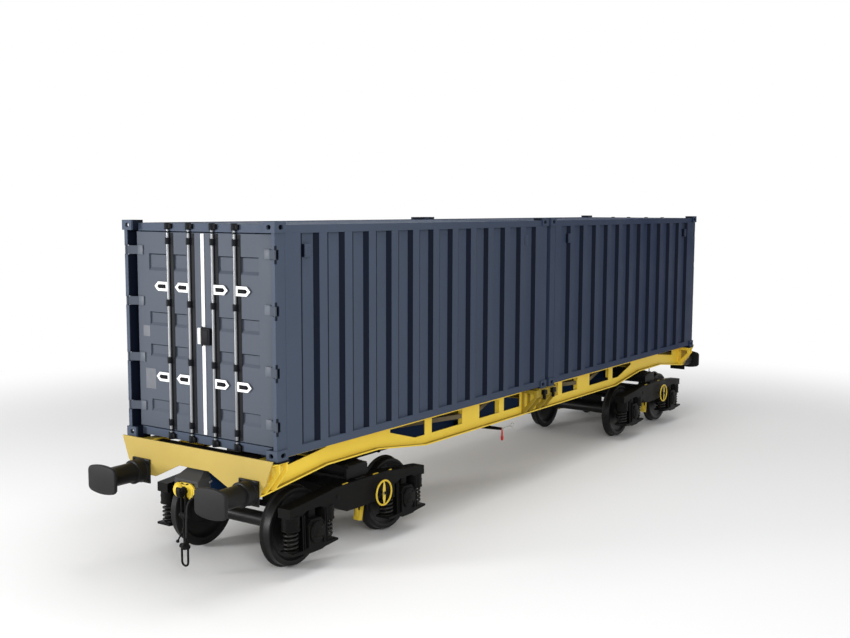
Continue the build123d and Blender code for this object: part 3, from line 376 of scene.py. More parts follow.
bright_zinc = coat(
    "bright_steel", (0.52, 0.52, 0.51), (0.42, 0.42, 0.41), 0.7, 0.30, 0.42, metallic=1.0, highlight=0.3,
    width=0.002, patch=3)
zinc_bolts = bmesh.new()
for way in (-1, 1):
    for side in (-1, 1):
        for z in (0.965, 1.085):
            bolt_head(zinc_bolts, (way * 6.105, side * 0.190, z), (0, side, 0), 0.010)
            bolt_head(zinc_bolts, (way * 6.060, side * 0.166, z), (0, side, 0), 0.010)
for index in range(-3, 4):
    bolt_head(zinc_bolts, (index * 2 * 3.56 / 7.2, -0.180, 0.868), (0, -1, 0), 0.009)
add_piece("sill_bolts", zinc_bolts, bright_zinc, "underframe", "bright_steel")

# Cast and forged steel of the underframe: end hoods and bolsters under a satin dark grey coat,
# pivots, pipe, arm, seats and bearer bars under the blacker one.
cast_grey = coat(
    "cast_grey", (0.030, 0.031, 0.032), 0.042, 0.10, 0.42, 0.56, specular=0.2, highlight=0.5, width=0.008,
    patch=2.2, skin=300, bump=0.08)
bolster_black = coat(
    "bolster_black", (0.0050, 0.0050, 0.0053), 0.0085, 0.05, 0.42, 0.56, specular=0.11, highlight=0.5, width=0.010,
    patch=2.0, skin=300, bump=0.08)
dress(cast_grey, "sill_end_caps")
dress(bolster_black, "bolsters")
dress(cast_black, "centre_pivots", "brake_pipe", "changeover_arm", "container_seats", "end_bars")

# Bolster plates: flat feet welded on the side bearers, each held by four bolts, and a wear
# plate on the saddle's top, all flame-cut from thick steel.
def slab(shape, centre, size, round_by=0.0, steps=2, turned=Matrix()):
    """A block about a centre, turned if asked, its edges rounded if asked."""
    made = bmesh.ops.create_cube(shape, size=1, matrix=Matrix.Translation(centre) @ turned @ Matrix.Diagonal(
        (*size, 1)))["verts"]
    if round_by:
        soften(shape, round_by, steps, 0.5, made)
    return made


BOGIE_X = 4.450
bolster_plates = bmesh.new()
for way in (-1, 1):
    for side in (-1, 1):
        slab(bolster_plates, (way * BOGIE_X, side * 0.955, 1.073), (0.36, 0.13, 0.030), 0.005)
        for dx in (-0.14, 0.14):
            bolt_head(bolster_plates, (way * BOGIE_X + dx, side * 0.955, 1.088), (0, 0, 1), 0.014, 0.012)
    slab(bolster_plates, (way * BOGIE_X, 0, 1.347), (0.30, 0.90, 0.010), 0.003)
add_piece("bolster_plates", bolster_plates, bolster_black, "underframe", "black_steel")

# Hook mouths: oblong cast plates round the hook's shank, dipped in clear yellow enamel.
# A shallow collar stands round the opening, with a round boss on one side of it.
enamel_yellow = coat(
    "handwheel_yellow", (0.70, 0.50, 0.04), (0.64, 0.45, 0.03), (0.85, 0.7, 0.2), 0.3, 0.45, specular=0.3,
    highlight=0.5, width=0.004)
MOUTH_Z = 1.000
mouth_plates = bmesh.new()
for way in (-1, 1):
    for y in (-0.060, 0.060):
        drum(mouth_plates, (way * 6.285, y, MOUTH_Z), (way * 6.307, y, MOUTH_Z), 0.090, 36)
        drum(mouth_plates, (way * 6.307, y, MOUTH_Z), (way * 6.316, y, MOUTH_Z), 0.075, 36, 0.066)
    slab(mouth_plates, (way * 6.296, 0, MOUTH_Z), (0.022, 0.12, 0.180))
    slab(mouth_plates, (way * 6.3105, 0, MOUTH_Z), (0.009, 0.12, 0.136))
    bmesh.ops.create_uvsphere(mouth_plates, u_segments=28, v_segments=16, radius=1, matrix=Matrix.Translation(
        (way * 6.312, -way * 0.092, MOUTH_Z)) @ Matrix.Diagonal((0.055, 0.078, 0.088, 1)))
add_piece("mouth_plates", mouth_plates, enamel_yellow, "underframe", "handwheel_yellow",
          stands_for="hook_mouths")

# Draw hooks: forged steel hooks with a thick round nose, cut to shape and hammered smooth,
# with a round collar against the mouth plate.
HOOK_OUTLINE = ((6.307, 0.972), (6.332, 0.968), (6.350, 0.945), (6.374, 0.935), (6.398, 0.942),
                (6.414, 0.968), (6.420, 1.003), (6.418, 1.040), (6.406, 1.062), (6.393, 1.058),
                (6.388, 1.036), (6.388, 1.012), (6.380, 0.995), (6.366, 0.992), (6.355, 1.004),
                (6.348, 1.030), (6.330, 1.036), (6.307, 1.034))
HOOK_THICK, PIN_Z = 0.066, 1.003
hooks = bmesh.new()
for way in (-1, 1):
    cheek = hooks.faces.new([hooks.verts.new((way * x, -HOOK_THICK / 2, z)) for x, z in HOOK_OUTLINE])
    pushed = bmesh.ops.extrude_face_region(hooks, geom=[cheek])["geom"]
    bmesh.ops.translate(hooks, vec=(0, HOOK_THICK, 0), verts=[item for item in pushed
                                                              if isinstance(item, bmesh.types.BMVert)])
    drum(hooks, (way * 6.316, 0, PIN_Z), (way * 6.330, 0, PIN_Z), 0.050, 28)
soften(hooks, 0.008, 3, 0.9)
add_piece("forged_hooks", hooks, cast_black, "underframe", "black_steel", stands_for="draw_hooks")

# Screw couplings: two flat links from the hook, a threaded screw between two nuts with a
# swinging handle on it, and a bent round bar as the shackle. Forged steel, blackened.
def weld(shape, reach=0.0001):
    """Join points that lie closer together than a reach."""
    bmesh.ops.remove_doubles(shape, verts=shape.verts, dist=reach)


def lathe(shape, profile, centre, axis, steps):
    """A turned part: a line of points spun full circle about an axis."""
    points = [shape.verts.new(point) for point in profile]
    wire = [shape.edges.new(pair) for pair in zip(points, points[1:])]
    bmesh.ops.spin(shape, geom=points + wire, cent=centre, axis=axis, dvec=(0, 0, 0), angle=math.tau,
                   steps=steps, use_merge=True)


def bent_bar(shape, stand, radius, sides, centre, axis, angle, steps, rise=0.0):
    """A round bar: a circle on a stand, swept about an axis, with a rise at every step."""
    ring = bmesh.ops.create_circle(shape, segments=sides, radius=radius, matrix=stand)["verts"]
    rim = ring + list({edge for vert in ring for edge in vert.link_edges})
    bmesh.ops.spin(shape, geom=rim, cent=centre, axis=axis, dvec=(0, 0, rise), angle=angle, steps=steps,
                   use_merge=angle == math.tau)


LINK_X, NUT_HIGH, NUT_LOW = 6.325, 0.720, 0.360
SHACKLE_Y, SHACKLE_Z, SHACKLE_R = 0.050, 0.182, 0.0125
couplings = bmesh.new()
for way in (-1, 1):
    x = way * LINK_X
    for y in (-0.033, 0.033):
        for z in (NUT_HIGH, PIN_Z):
            drum(couplings, (x, y - 0.009, z), (x, y + 0.009, z), 0.034, 24)
        slab(couplings, (x, y, (NUT_HIGH + PIN_Z) / 2), (0.034, 0.018, PIN_Z - NUT_HIGH), 0.004)
    drum(couplings, (x, -0.055, PIN_Z), (x, 0.055, PIN_Z), 0.017, 16)
    for z in (NUT_HIGH, NUT_LOW):
        nut = drum(couplings, (x, -0.046, z), (x, 0.046, z), 0.031, 20)
        pin = drum(couplings, (x, -0.076, z), (x, 0.076, z), 0.017, 16)
        soften(couplings, 0.004, 2, 0.9, nut + pin)
        drum(couplings, (x, 0, z - 0.036), (x, 0, z + 0.036), 0.029, 20)
    lathe(couplings, [(x + (0.0185 if step % 2 else 0.0145), 0, NUT_LOW + 0.01 + step * 0.0068)
                      for step in range(50)], (x, 0, 0), (0, 0, 1), 16)
    drum(couplings, (x, 0, 0.520), (x, 0, 0.570), 0.027, 20)
    drum(couplings, (x, 0.02, 0.545), (x, 0.115, 0.400), 0.009, 12)
    bmesh.ops.create_icosphere(couplings, subdivisions=2, radius=0.021,
                               matrix=Matrix.Translation((x, 0.117, 0.397)))
    bent_bar(couplings, Matrix.Translation((x, -SHACKLE_Y, SHACKLE_Z)), SHACKLE_R, 14, (x, 0, SHACKLE_Z),
             (1, 0, 0), math.pi, 14)
    for y in (-SHACKLE_Y, SHACKLE_Y):
        drum(couplings, (x, y, SHACKLE_Z), (x, y, NUT_LOW + 0.005), SHACKLE_R, 14)
        drum(couplings, (x, y - 0.011, NUT_LOW), (x, y + 0.011, NUT_LOW), 0.028, 20)
weld(couplings, 0.00005)
add_piece("forged_couplings", couplings, cast_black, "underframe", "black_steel",
          stands_for="screw_couplings")

# Changeover lever: a flat pressed lever in signal red at the arm's tip, with a round grip,
# a bright pivot bolt and a bent wire pull ring beside it.
enamel_red = coat("lever_red", (0.55, 0.02, 0.012), (0.45, 0.015, 0.01), (0.7, 0.1, 0.06), 0.3, 0.45,
                  specular=0.3)
lever = bmesh.new()
slab(lever, (-1.0, -1.008, 0.880), (0.036, 0.014, 0.150))
drum(lever, (-1.0, -1.008, 0.765), (-1.0, -1.008, 0.830), 0.020, 20)
soften(lever, 0.005, 2, 0.9)
add_piece("red_lever", lever, enamel_red, "underframe", "lever_red", stands_for="changeover_lever")
PIVOT_Z, PULL_X, PULL_Y, PULL_R = 0.935, -0.66, -0.99, 0.038
pivot_parts = bmesh.new()
bolt_head(pivot_parts, (-1.0, -1.016, PIVOT_Z), (0, -1, 0), 0.016, 0.014)
drum(pivot_parts, (-0.96, PULL_Y, PIVOT_Z), (-0.70, PULL_Y, PIVOT_Z), 0.008, 10)
bent_bar(pivot_parts,
         Matrix.Translation((PULL_X, PULL_Y, PIVOT_Z + PULL_R)) @ Matrix.Rotation(math.pi / 2, 4, "Y"),
         0.006, 8, (PULL_X, PULL_Y, PIVOT_Z), (0, 1, 0), math.tau, 24)
add_piece("lever_pivot", pivot_parts, bright_zinc, "underframe", "bright_steel")

# Upper frame: side sills, headstocks and cross members cut and welded from plate, then sprayed yellow in one
# coat. The cross members, middle brackets and headstocks take darker copies of that yellow as painted shade.
frame_paint = coat(
    "frame_yellow", (0.92, 0.66, 0.070), (0.84, 0.60, 0.060), (0.88, 0.74, 0.24), 0.38, 0.52, specular=0.16,
    highlight=0.4, width=0.006, patch=0.8)
shaded_yellow = coat(
    "shaded_yellow", (0.34, 0.245, 0.026), (0.28, 0.20, 0.022), (0.55, 0.44, 0.11), 0.38, 0.52, specular=0.2,
    highlight=0.4, width=0.006, patch=0.8)
shaded_end_yellow = coat(
    "shaded_end_yellow", (0.47, 0.345, 0.080), (0.41, 0.30, 0.070), (0.66, 0.54, 0.20), 0.42, 0.56, specular=0.2,
    highlight=0.4, width=0.006, patch=0.6)
# painted shade: upward faces of the side sills, corner brackets and web ribs take a darker yellow
dress(lay_painted_shade(frame_paint, [[(0, 0, 1)]], (0.36, 0.26, 0.035)), "side_sill_left", "side_sill_right",
      "corner_brackets")
dress(shaded_yellow, "cross_members", "middle_brackets")
dress(shaded_end_yellow, "headstocks")
brace_paint = coat(
    "brace_olive", (0.125, 0.10, 0.055), (0.16, 0.13, 0.07), (0.3, 0.26, 0.15), 0.45, 0.6, specular=0.2)
dress(brace_paint, "frame_braces")

# Web stiffeners: flat yellow ribs cut from plate and welded inside the side sills beside
# every window, shorter ones where the web is low.
ribs = bmesh.new()
for side in (-1, 1):
    for way in (-1, 1):
        for x in (0.88, 0.99, 1.56, 1.99):
            slab(ribs, (way * x, side * 0.904, 1.252), (0.010, 0.062, 0.318))
        for x in (2.80, 3.90):
            slab(ribs, (way * x, side * 0.904, 1.307), (0.010, 0.062, 0.200))
soften(ribs, 0.002, 1)
add_piece("web_ribs", ribs, frame_paint, "upper_frame", "frame_yellow")

# Container pins: turned steel pins with a collar and a pointed head, left bright,
# bolted on the frame's seats.
pins = bmesh.new()
PIN_PROFILE = ((0.0, 0.000), (0.028, 0.000), (0.028, 0.048), (0.0235, 0.053), (0.0235, 0.058), (0.028, 0.062),
               (0.0275, 0.070), (0.020, 0.081), (0.010, 0.085), (0.0, 0.085))
SEAT_Z = 1.450
for x in (-5.9935, 5.9935):
    for y in (-1.1295, 1.1295):
        lathe(pins, [(x + r, y, SEAT_Z + z) for r, z in PIN_PROFILE], (x, y, 0), (0, 0, 1), 28)
weld(pins)
add_piece("turned_pins", pins, bright_zinc, "upper_frame", "bright_steel", stands_for="container_pins")

# Buffers: forged heads, rounded at the rim, on turned tubes that slide in short collared
# casings, each casing on a square flange with four bolts. Dark grey paint.
buffer_paint = coat(
    "buffer_grey", (0.0100, 0.0100, 0.0104), (0.0140, 0.0140, 0.0144), 0.05, 0.46, 0.56, specular=0.14,
    highlight=0.4, width=0.008, patch=3, bump=0.06)
buffer_black = coat(
    "buffer_black", 0.0055, (0.0085, 0.0085, 0.0082), 0.03, 0.36, 0.5, specular=0.13, highlight=0.4, width=0.006,
    patch=3, bump=0.06)
heads = bmesh.new()
heads.from_mesh(nodes["buffer_heads"].data)
weld(heads)
bmesh.ops.dissolve_limit(heads, angle_limit=0.02, verts=heads.verts, edges=heads.edges)
soften(heads, 0.014, 3, 1.1)
add_piece("buffer_faces", heads, buffer_paint, "upper_frame", "buffer_grey", stands_for="buffer_heads")
CASING_PROFILE = ((6.188, 0.0), (6.188, 0.146), (6.206, 0.146), (6.212, 0.137), (6.300, 0.137),
                  (6.304, 0.142), (6.324, 0.142), (6.330, 0.134), (6.332, 0.118), (6.420, 0.116),
                  (6.640, 0.116), (6.646, 0.120), (6.662, 0.120), (6.668, 0.116), (6.700, 0.118),
                  (6.727, 0.134), (6.727, 0.0))
BUFFER_Y, BUFFER_Z = 0.875, 1.090
casings = bmesh.new()
for way in (-1, 1):
    for y in (-BUFFER_Y, BUFFER_Y):
        lathe(casings, [(way * x, y, BUFFER_Z + r) for x, r in CASING_PROFILE], (0, y, BUFFER_Z),
              (1, 0, 0), 40)
        slab(casings, (way * 6.180, y, BUFFER_Z), (0.020, 0.300, 0.290), 0.006)
        for dy in (-0.122, 0.122):
            for dz in (-0.117, 0.117):
                bolt_head(casings, (way * 6.190, y + dy, BUFFER_Z + dz), (way, 0, 0), 0.015, 0.014)
weld(casings)
add_piece("turned_casings", casings, buffer_black, "upper_frame", "buffer_grey", stands_for="buffer_casings")

# Bogies: cast side frames and cross beam, axle boxes and brake gear, in the black of the
# underframe. The frames are cast in one piece and machined where parts meet.
for end, _ in ENDS:
    dress(cast_black, f"bogie_frame_{end}", f"axle_boxes_{end}", f"brake_gear_{end}")

# Wheelsets: forged wheels pressed on a turned axle; web, rim and hub flow into each other,
# with turned rings on both faces. Rolled steel, blackened.
wheel_black = coat(
    "wheel_steel", 0.0050, (0.0085, 0.0083, 0.008), 0.03, 0.34, 0.5, specular=0.16, highlight=0.3, width=0.004,
    patch=4, bump=0.08)
AXLE_Z, AXLE_DX = 0.490, 0.900
WHEEL_PROFILE = (
    (0.0, 0.088), (0.30, 0.088), (0.36, 0.093), (0.600, 0.096), (0.640, 0.104), (0.664, 0.112),
    (0.668, 0.132), (0.684, 0.140), (0.716, 0.150), (0.728, 0.172), (0.736, 0.210), (0.736, 0.222),
    (0.741, 0.226), (0.741, 0.262), (0.738, 0.310), (0.728, 0.345), (0.706, 0.372), (0.690, 0.386),
    (0.682, 0.398), (0.680, 0.412), (0.680, 0.470), (0.686, 0.484), (0.696, 0.490), (0.706, 0.485),
    (0.713, 0.471), (0.722, 0.462), (0.740, 0.4605), (0.805, 0.458), (0.813, 0.452), (0.815, 0.444),
    (0.815, 0.408), (0.810, 0.398), (0.800, 0.390), (0.788, 0.380), (0.774, 0.360), (0.764, 0.330),
    (0.760, 0.290), (0.760, 0.240), (0.766, 0.190), (0.778, 0.156), (0.800, 0.138), (0.824, 0.132),
    (0.830, 0.126), (0.830, 0.092), (0.875, 0.088), (0.875, 0.066), (1.095, 0.064), (1.095, 0.0))
for end, way in ENDS:
    for which, outward in (("outer", 1), ("inner", -1)):
        mid_x = way * (BOGIE_X + outward * AXLE_DX)
        turned = bmesh.new()
        lathe(turned, [(mid_x, y, AXLE_Z + r) for y, r in WHEEL_PROFILE], (mid_x, 0, AXLE_Z), (0, 1, 0), 72)
        bmesh.ops.mirror(turned, geom=turned.verts[:] + turned.edges[:] + turned.faces[:],
                         matrix=Matrix.Identity(4), merge_dist=0.0001, axis="Y")
        weld(turned, 0.0002)
        add_piece(f"turned_wheels_{end}_{which}", turned, wheel_black, f"wheelset_{end}_{which}",
                  "wheel_steel", smooth=30, stands_for=f"wheelset_{end}_{which}")


# Coil springs: an outer and an inner coil of round bar, ground flat at both ends,
# standing on the axle box wings under the side frame's pots.
def wound_coil(radius, wire, turns, low, high, sides, per_turn):
    """One coil about the origin's upright axis, as a mesh to copy."""
    coil = bmesh.new()
    steps = int(turns * per_turn)
    bent_bar(coil, Matrix.Translation((radius, 0, low + wire)) @ Matrix.Rotation(math.pi / 2, 4, "X"), wire,
             sides, (0, 0, 0), (0, 0, 1), turns * math.tau, steps, (high - low - 2 * wire) / steps)
    bmesh.ops.holes_fill(coil, edges=[edge for edge in coil.edges if edge.is_boundary], sides=0)
    pattern = bpy.data.meshes.new("coil_pattern")
    coil.to_mesh(pattern)
    coil.free()
    return pattern


SPRING_LOW, SPRING_HIGH, SPRING_DX, SIDE_Y = 0.315, 0.555, 0.300, 1.000
coil_patterns = (wound_coil(0.0765, 0.0155, 4.25, SPRING_LOW, SPRING_HIGH, 8, 22),
                 wound_coil(0.044, 0.0095, 6.25, SPRING_LOW, SPRING_HIGH, 6, 16))
SPRING_SPOTS = [(axle + step, y) for axle in (-AXLE_DX, AXLE_DX) for step in (-SPRING_DX, SPRING_DX)
                for y in (-SIDE_Y, SIDE_Y)]
spring_black = coat(
    "spring_black", 0.006, (0.011, 0.010, 0.009), 0.03, 0.30, 0.45, specular=0.20, highlight=0.2, width=0.003,
    patch=6, bump=0.06)
for end, way in ENDS:
    coils = bmesh.new()
    for dx, y in SPRING_SPOTS:
        x = way * BOGIE_X + dx
        for pattern in coil_patterns:
            before = set(coils.verts)
            coils.from_mesh(pattern)
            bmesh.ops.translate(coils, vec=(x, y, 0),
                                verts=[vert for vert in coils.verts if vert not in before])
        for z in (SPRING_LOW, SPRING_HIGH - 0.008):
            drum(coils, (x, y, z), (x, y, z + 0.008), 0.092, 24)
    add_piece(f"coil_springs_{end}", coils, spring_black, f"bogie_{end}", "black_steel", smooth=50,
              stands_for=f"springs_{end}")

# Axle box fronts: eight-sided covers held by four bolts, with a raised round boss, two cheek
# ribs, and pairs of round retaining rods with a foot on both sides. Cast and drawn steel.
COVER_BOLT_R = 0.098
for end, way in ENDS:
    fronts = bmesh.new()
    for axle in (-AXLE_DX, AXLE_DX):
        for side in (-1, 1):
            def out(dx, y, z):
                return (way * BOGIE_X + axle + dx, side * y, z)

            cover_plate = drum(fronts, out(0, 1.118, AXLE_Z), out(0, 1.156, AXLE_Z), 0.132, 8, 0.122)
            bmesh.ops.rotate(fronts, cent=out(0, 1.1, AXLE_Z), matrix=Matrix.Rotation(math.pi / 8, 3, "Y"),
                             verts=cover_plate)
            soften(fronts, 0.006, 2, 0.5, cover_plate)
            drum(fronts, out(0, 1.150, AXLE_Z), out(0, 1.166, AXLE_Z), 0.078, 28, 0.070, 0.005)
            drum(fronts, out(0, 1.160, AXLE_Z), out(0, 1.172, AXLE_Z), 0.022, 16, 0.018)
            for turn_by in range(4):
                angle = math.pi / 4 + turn_by * math.pi / 2
                bolt_head(fronts, out(COVER_BOLT_R * math.cos(angle), 1.155,
                                      AXLE_Z + COVER_BOLT_R * math.sin(angle)), (0, side, 0), 0.012, 0.012)
            for dx in (-0.134, 0.134):
                slab(fronts, out(dx, 1.115, 0.452), (0.022, 0.050, 0.250), 0.005)
            for dx in (-0.195, 0.195):
                for step in (-0.016, 0.016):
                    drum(fronts, out(dx + step, 1.112, 0.300), out(dx + step, 1.100, 0.715), 0.0085, 10)
                slab(fronts, out(dx, 1.104, 0.300), (0.066, 0.030, 0.020), 0.004, 1)
    add_piece(f"axle_box_fronts_{end}", fronts, cast_black, f"bogie_{end}", "black_steel")

# Side frame fittings: lips round the spring pots, a boss on each frame's belly, stop blocks
# over the axle boxes, and brake hangers from the frame to the shoes. Welded and pinned steel.
SHOE_Y, HANGER_FOOT, HANGER_HEAD = 0.7475, 0.520, 0.845
for end, way in ENDS:
    fittings = bmesh.new()
    for dx, y in SPRING_SPOTS:
        x = way * BOGIE_X + dx
        drum(fittings, (x, y, 0.553), (x, y, 0.571), 0.112, 32, round_by=0.004)
        drum(fittings, (x, y, 0.640), (x, y, 0.656), 0.110, 32)
    for side in (-1, 1):
        for dx in (-0.47, 0.47):
            x = way * BOGIE_X + dx
            drum(fittings, (x, side * 1.085, 0.790), (x, side * 1.096, 0.790), 0.030, 20, round_by=0.003)
        for dx in (-AXLE_DX, AXLE_DX):
            slab(fittings, (way * BOGIE_X + dx, side * SIDE_Y, 0.700), (0.110, 0.120, 0.115), 0.006)
        for dx in (-0.40, 0.40):
            foot_x, head_x = way * BOGIE_X + dx * 0.92, way * BOGIE_X + dx * 0.80
            for step in (-0.052, 0.052):
                y = side * SHOE_Y + step
                drum(fittings, (foot_x, y, HANGER_FOOT), (head_x, y, HANGER_HEAD), 0.011, 10)
            drum(fittings, (head_x, side * 0.66, HANGER_HEAD), (head_x, side * 0.92, HANGER_HEAD), 0.016, 12)
            drum(fittings, (foot_x, side * 0.67, HANGER_FOOT), (foot_x, side * 0.83, HANGER_FOOT), 0.015, 12)
    add_piece(f"frame_fittings_{end}", fittings, cast_black, f"bogie_{end}", "black_steel")

# Brake block holders and marks: yellow cast holders that clip over the shoes' lower ends,
# and short yellow strips on the side frame's top beside the side bearers.
for end, way in ENDS:
    holders = bmesh.new()
    for side in (-1, 1):
        for dx in (-1, 1):
            x = way * BOGIE_X + dx * 0.355
            slab(holders, (x, side * SHOE_Y, 0.365), (0.072, 0.100, 0.215), 0.010,
                 turned=Matrix.Rotation(dx * 0.20, 4, "Y"))
            slab(holders, (x - dx * 0.034, side * SHOE_Y, 0.385), (0.040, 0.040, 0.120), 0.006)
        for dx, z, length in ((-0.30, 0.912, 0.10), (0.30, 0.912, 0.10), (0.60, 0.902, 0.05)):
            slab(holders, (way * BOGIE_X + dx, side * 1.062, z), (length, 0.014, 0.012), 0.002, 1)
    add_piece(f"brake_holders_{end}", holders, enamel_yellow, f"bogie_{end}", "handwheel_yellow")

# Handwheels: a round bent bar for the rim and one bowed pressed spoke, yellow, on a black
# spindle with a nut. The wheel stands off the side frame's outer face.
WHEEL_R, WHEEL_DX, WHEEL_Z, WHEEL_Y = 0.152, 0.355, 0.672, 1.150
for end, way in ENDS:
    rims = bmesh.new()
    spindles = bmesh.new()
    x = way * BOGIE_X + WHEEL_DX
    for side in (-1, 1):
        bent_bar(rims, Matrix.Translation((x, side * WHEEL_Y, WHEEL_Z + WHEEL_R)) @ Matrix.Rotation(
            math.pi / 2, 4, "Y"), 0.012, 12, (x, side * WHEEL_Y, WHEEL_Z), (0, 1, 0), math.tau, 48)
        spoke = bmesh.ops.create_grid(rims, x_segments=4, y_segments=12, size=0.5)
        for vert in spoke["verts"]:
            across, along = vert.co.x, vert.co.y
            swell = math.cos(along * math.pi)
            vert.co = (x - 0.022 * swell + across * (0.016 + 0.048 * swell),
                       side * (WHEEL_Y - 0.004 + 0.024 * swell ** 0.5), WHEEL_Z + along * 2 * WHEEL_R)
        faces = list({face for vert in spoke["verts"] for face in vert.link_faces})
        bmesh.ops.solidify(rims, geom=faces, thickness=0.005)
        drum(spindles, (x, side * 1.088, WHEEL_Z), (x, side * 1.178, WHEEL_Z), 0.013, 16)
        bolt_head(spindles, (x, side * 1.174, WHEEL_Z), (0, side, 0), 0.014, 0.014)
        drum(spindles, (x, side * 1.088, WHEEL_Z), (x, side * 1.112, WHEEL_Z), 0.046, 24, 0.036)
    weld(rims, 0.00005)
    add_piece(f"handwheel_rims_{end}", rims, enamel_yellow, f"bogie_{end}", "handwheel_yellow",
              stands_for=f"handwheels_{end}")
    add_piece(f"handwheel_spindles_{end}", spindles, cast_black, f"bogie_{end}", "black_steel")

# Containers: pressed sheet steel welded into a box, sprayed a matt slate blue. The pressed grooves, the
# hollow corners, the door posts' inner channels and the undersides of ledges and rails carry a near-black
# navy as painted shade.
# painted shade: towards the far end (+X) the slate turns darker and bluer, as light falling off along the
# wagon
FAR_END_SHADE = [[((1, 0, 0), 8.0, 13.0, 9.0)]]
FAR_SHADE_BLUE = Vector((0.007, 0.018, 0.051))


def slate(name, share=1.0, width=0.004):
    """The slate blue paint, at a share of its full depth of colour; towards the far end it turns darker and
    bluer as painted shade.
    """
    paint = coat(
        name, share * Vector((0.0525, 0.0690, 0.1020)), share * Vector((0.0590, 0.0770, 0.1130)),
        share * Vector((0.10, 0.125, 0.17)), 0.5, 0.66, specular=0.14, highlight=0.4, width=width, patch=0.9,
        skin=200, bump=0.05)
    return lay_painted_shade(paint, FAR_END_SHADE, share * FAR_SHADE_BLUE)


ROOF_SKIN_Z = 3.996
# painted shade: the near-black navy laid into hollows, gaps and undersides
SHADE_NAVY = Vector((0.0022, 0.0045, 0.012))
BOX_X, BOX_Z, BOX_H = 3.067, 1.450, 2.591
HINGE_Z = (0.377, 0.963, 1.635, 2.239)
door_slate = lay_painted_shade(coat(
    "container_blue", (0.058, 0.070, 0.092), (0.068, 0.081, 0.105), (0.11, 0.13, 0.165), 0.5, 0.66,
    specular=0.2, highlight=0.4, patch=0.9, skin=200, bump=0.05), FAR_END_SHADE, FAR_SHADE_BLUE)
# painted shade: the leaves' downward-facing ledges take the navy
door_slate = lay_painted_shade(door_slate, [[(0, 0, -1), ((0, 0, 1), BOX_Z + BOX_H / 2, 1.130, 0.002)]], SHADE_NAVY)
# painted light and shade: the blind walls take a lighter copy of the slate (1.35 times its colour), and the
# flanks of their grooves take the navy
flank_slate = lay_painted_shade(slate("container_blue_ends", 1.35), [[(0, 1, 0)], [(0, -1, 0)]], SHADE_NAVY)
# painted shade: everything on the roof lower than its skin, the pressed recesses, takes the navy
roof_slate = lay_painted_shade(slate("container_blue_roof"), [[((0, 0, 1), 0, ROOF_SKIN_Z, 0.012)]], SHADE_NAVY)
floor_ply = coat("floor_wood", (0.22, 0.13, 0.07), (0.16, 0.09, 0.045), (0.3, 0.2, 0.12), 0.4, 0.6, patch=5)
for end, way in ENDS:
    mid_x, mid_z = way * BOX_X, BOX_Z + BOX_H / 2
    # painted shade: the pockets round every hinge knuckle on the posts take the navy
    hinge_pocket_shade = [
        [((0, 0, 1), BOX_Z + z, 0.100, 0.002), spot, ((1, 0, 0), mid_x + way * 3.010, 0.030, 0.001)]
        for z in HINGE_Z
        for spot in (((1, 0, 0), mid_x + way * 3.000, 0.008, 0.001), ((0, 1, 0), -1.198, 0.008, 0.001),
                     ((0, 1, 0), 1.198, 0.008, 0.001))]
    # painted shade: the corner posts' hollow insides and the posts' inner channels beside the leaves take the
    # navy
    post_slate = lay_painted_shade(slate(f"container_blue_posts_{end}"), [
        [((1, 0, 0), mid_x, 3.010, 0.012), ((0, 1, 0), 0, 1.200, 0.012), ((0, 0, 1), mid_z, BOX_H, 0.01)],
        [((0, 1, 0), 0, 1.150, 0.002), ((0, 0, 1), mid_z, 1.178, 0.001)]] + hinge_pocket_shade, SHADE_NAVY)
    dress(post_slate, f"corner_posts_{end}")
    # painted shade: the rails' downward faces, except near the container's ends, take the navy
    rail_slate = lay_painted_shade(slate(f"container_blue_rails_{end}"),
                          [[(0, 0, -1), ((1, 0, 0), mid_x, 2.860, 0.002)]], SHADE_NAVY)
    dress(rail_slate, f"rails_{end}")
    dress(roof_slate, f"roof_{end}")
    dress(flank_slate, f"blind_wall_{end}")
    dress(door_slate, f"door_left_{end}", f"door_right_{end}")
    dress(cast_black, f"rod_keepers_{end}")
    dress(floor_ply, f"floor_{end}")


# Side walls: one thin steel sheet a side, pressed into upright grooves with slanted flanks. The flanks carry
# a near-black navy as painted shade; lands and groove floors carry the slate blue.
def door_stand(end):
    """From a container's own place, doors at +X and underside at 0, to the wagon's."""
    turn_by = math.pi if end == "near" else 0.0
    spot = (-BOX_X if end == "near" else BOX_X, 0, BOX_Z)
    return Matrix.Translation(spot) @ Matrix.Rotation(turn_by, 4, "Z")


def add_door_piece(name, end, shape, *finish, **more):
    """Add a piece that was made in a container's own place."""
    bmesh.ops.transform(shape, matrix=door_stand(end), verts=shape.verts)
    return add_piece(f"{name}_{end}", shape, *finish, **more)


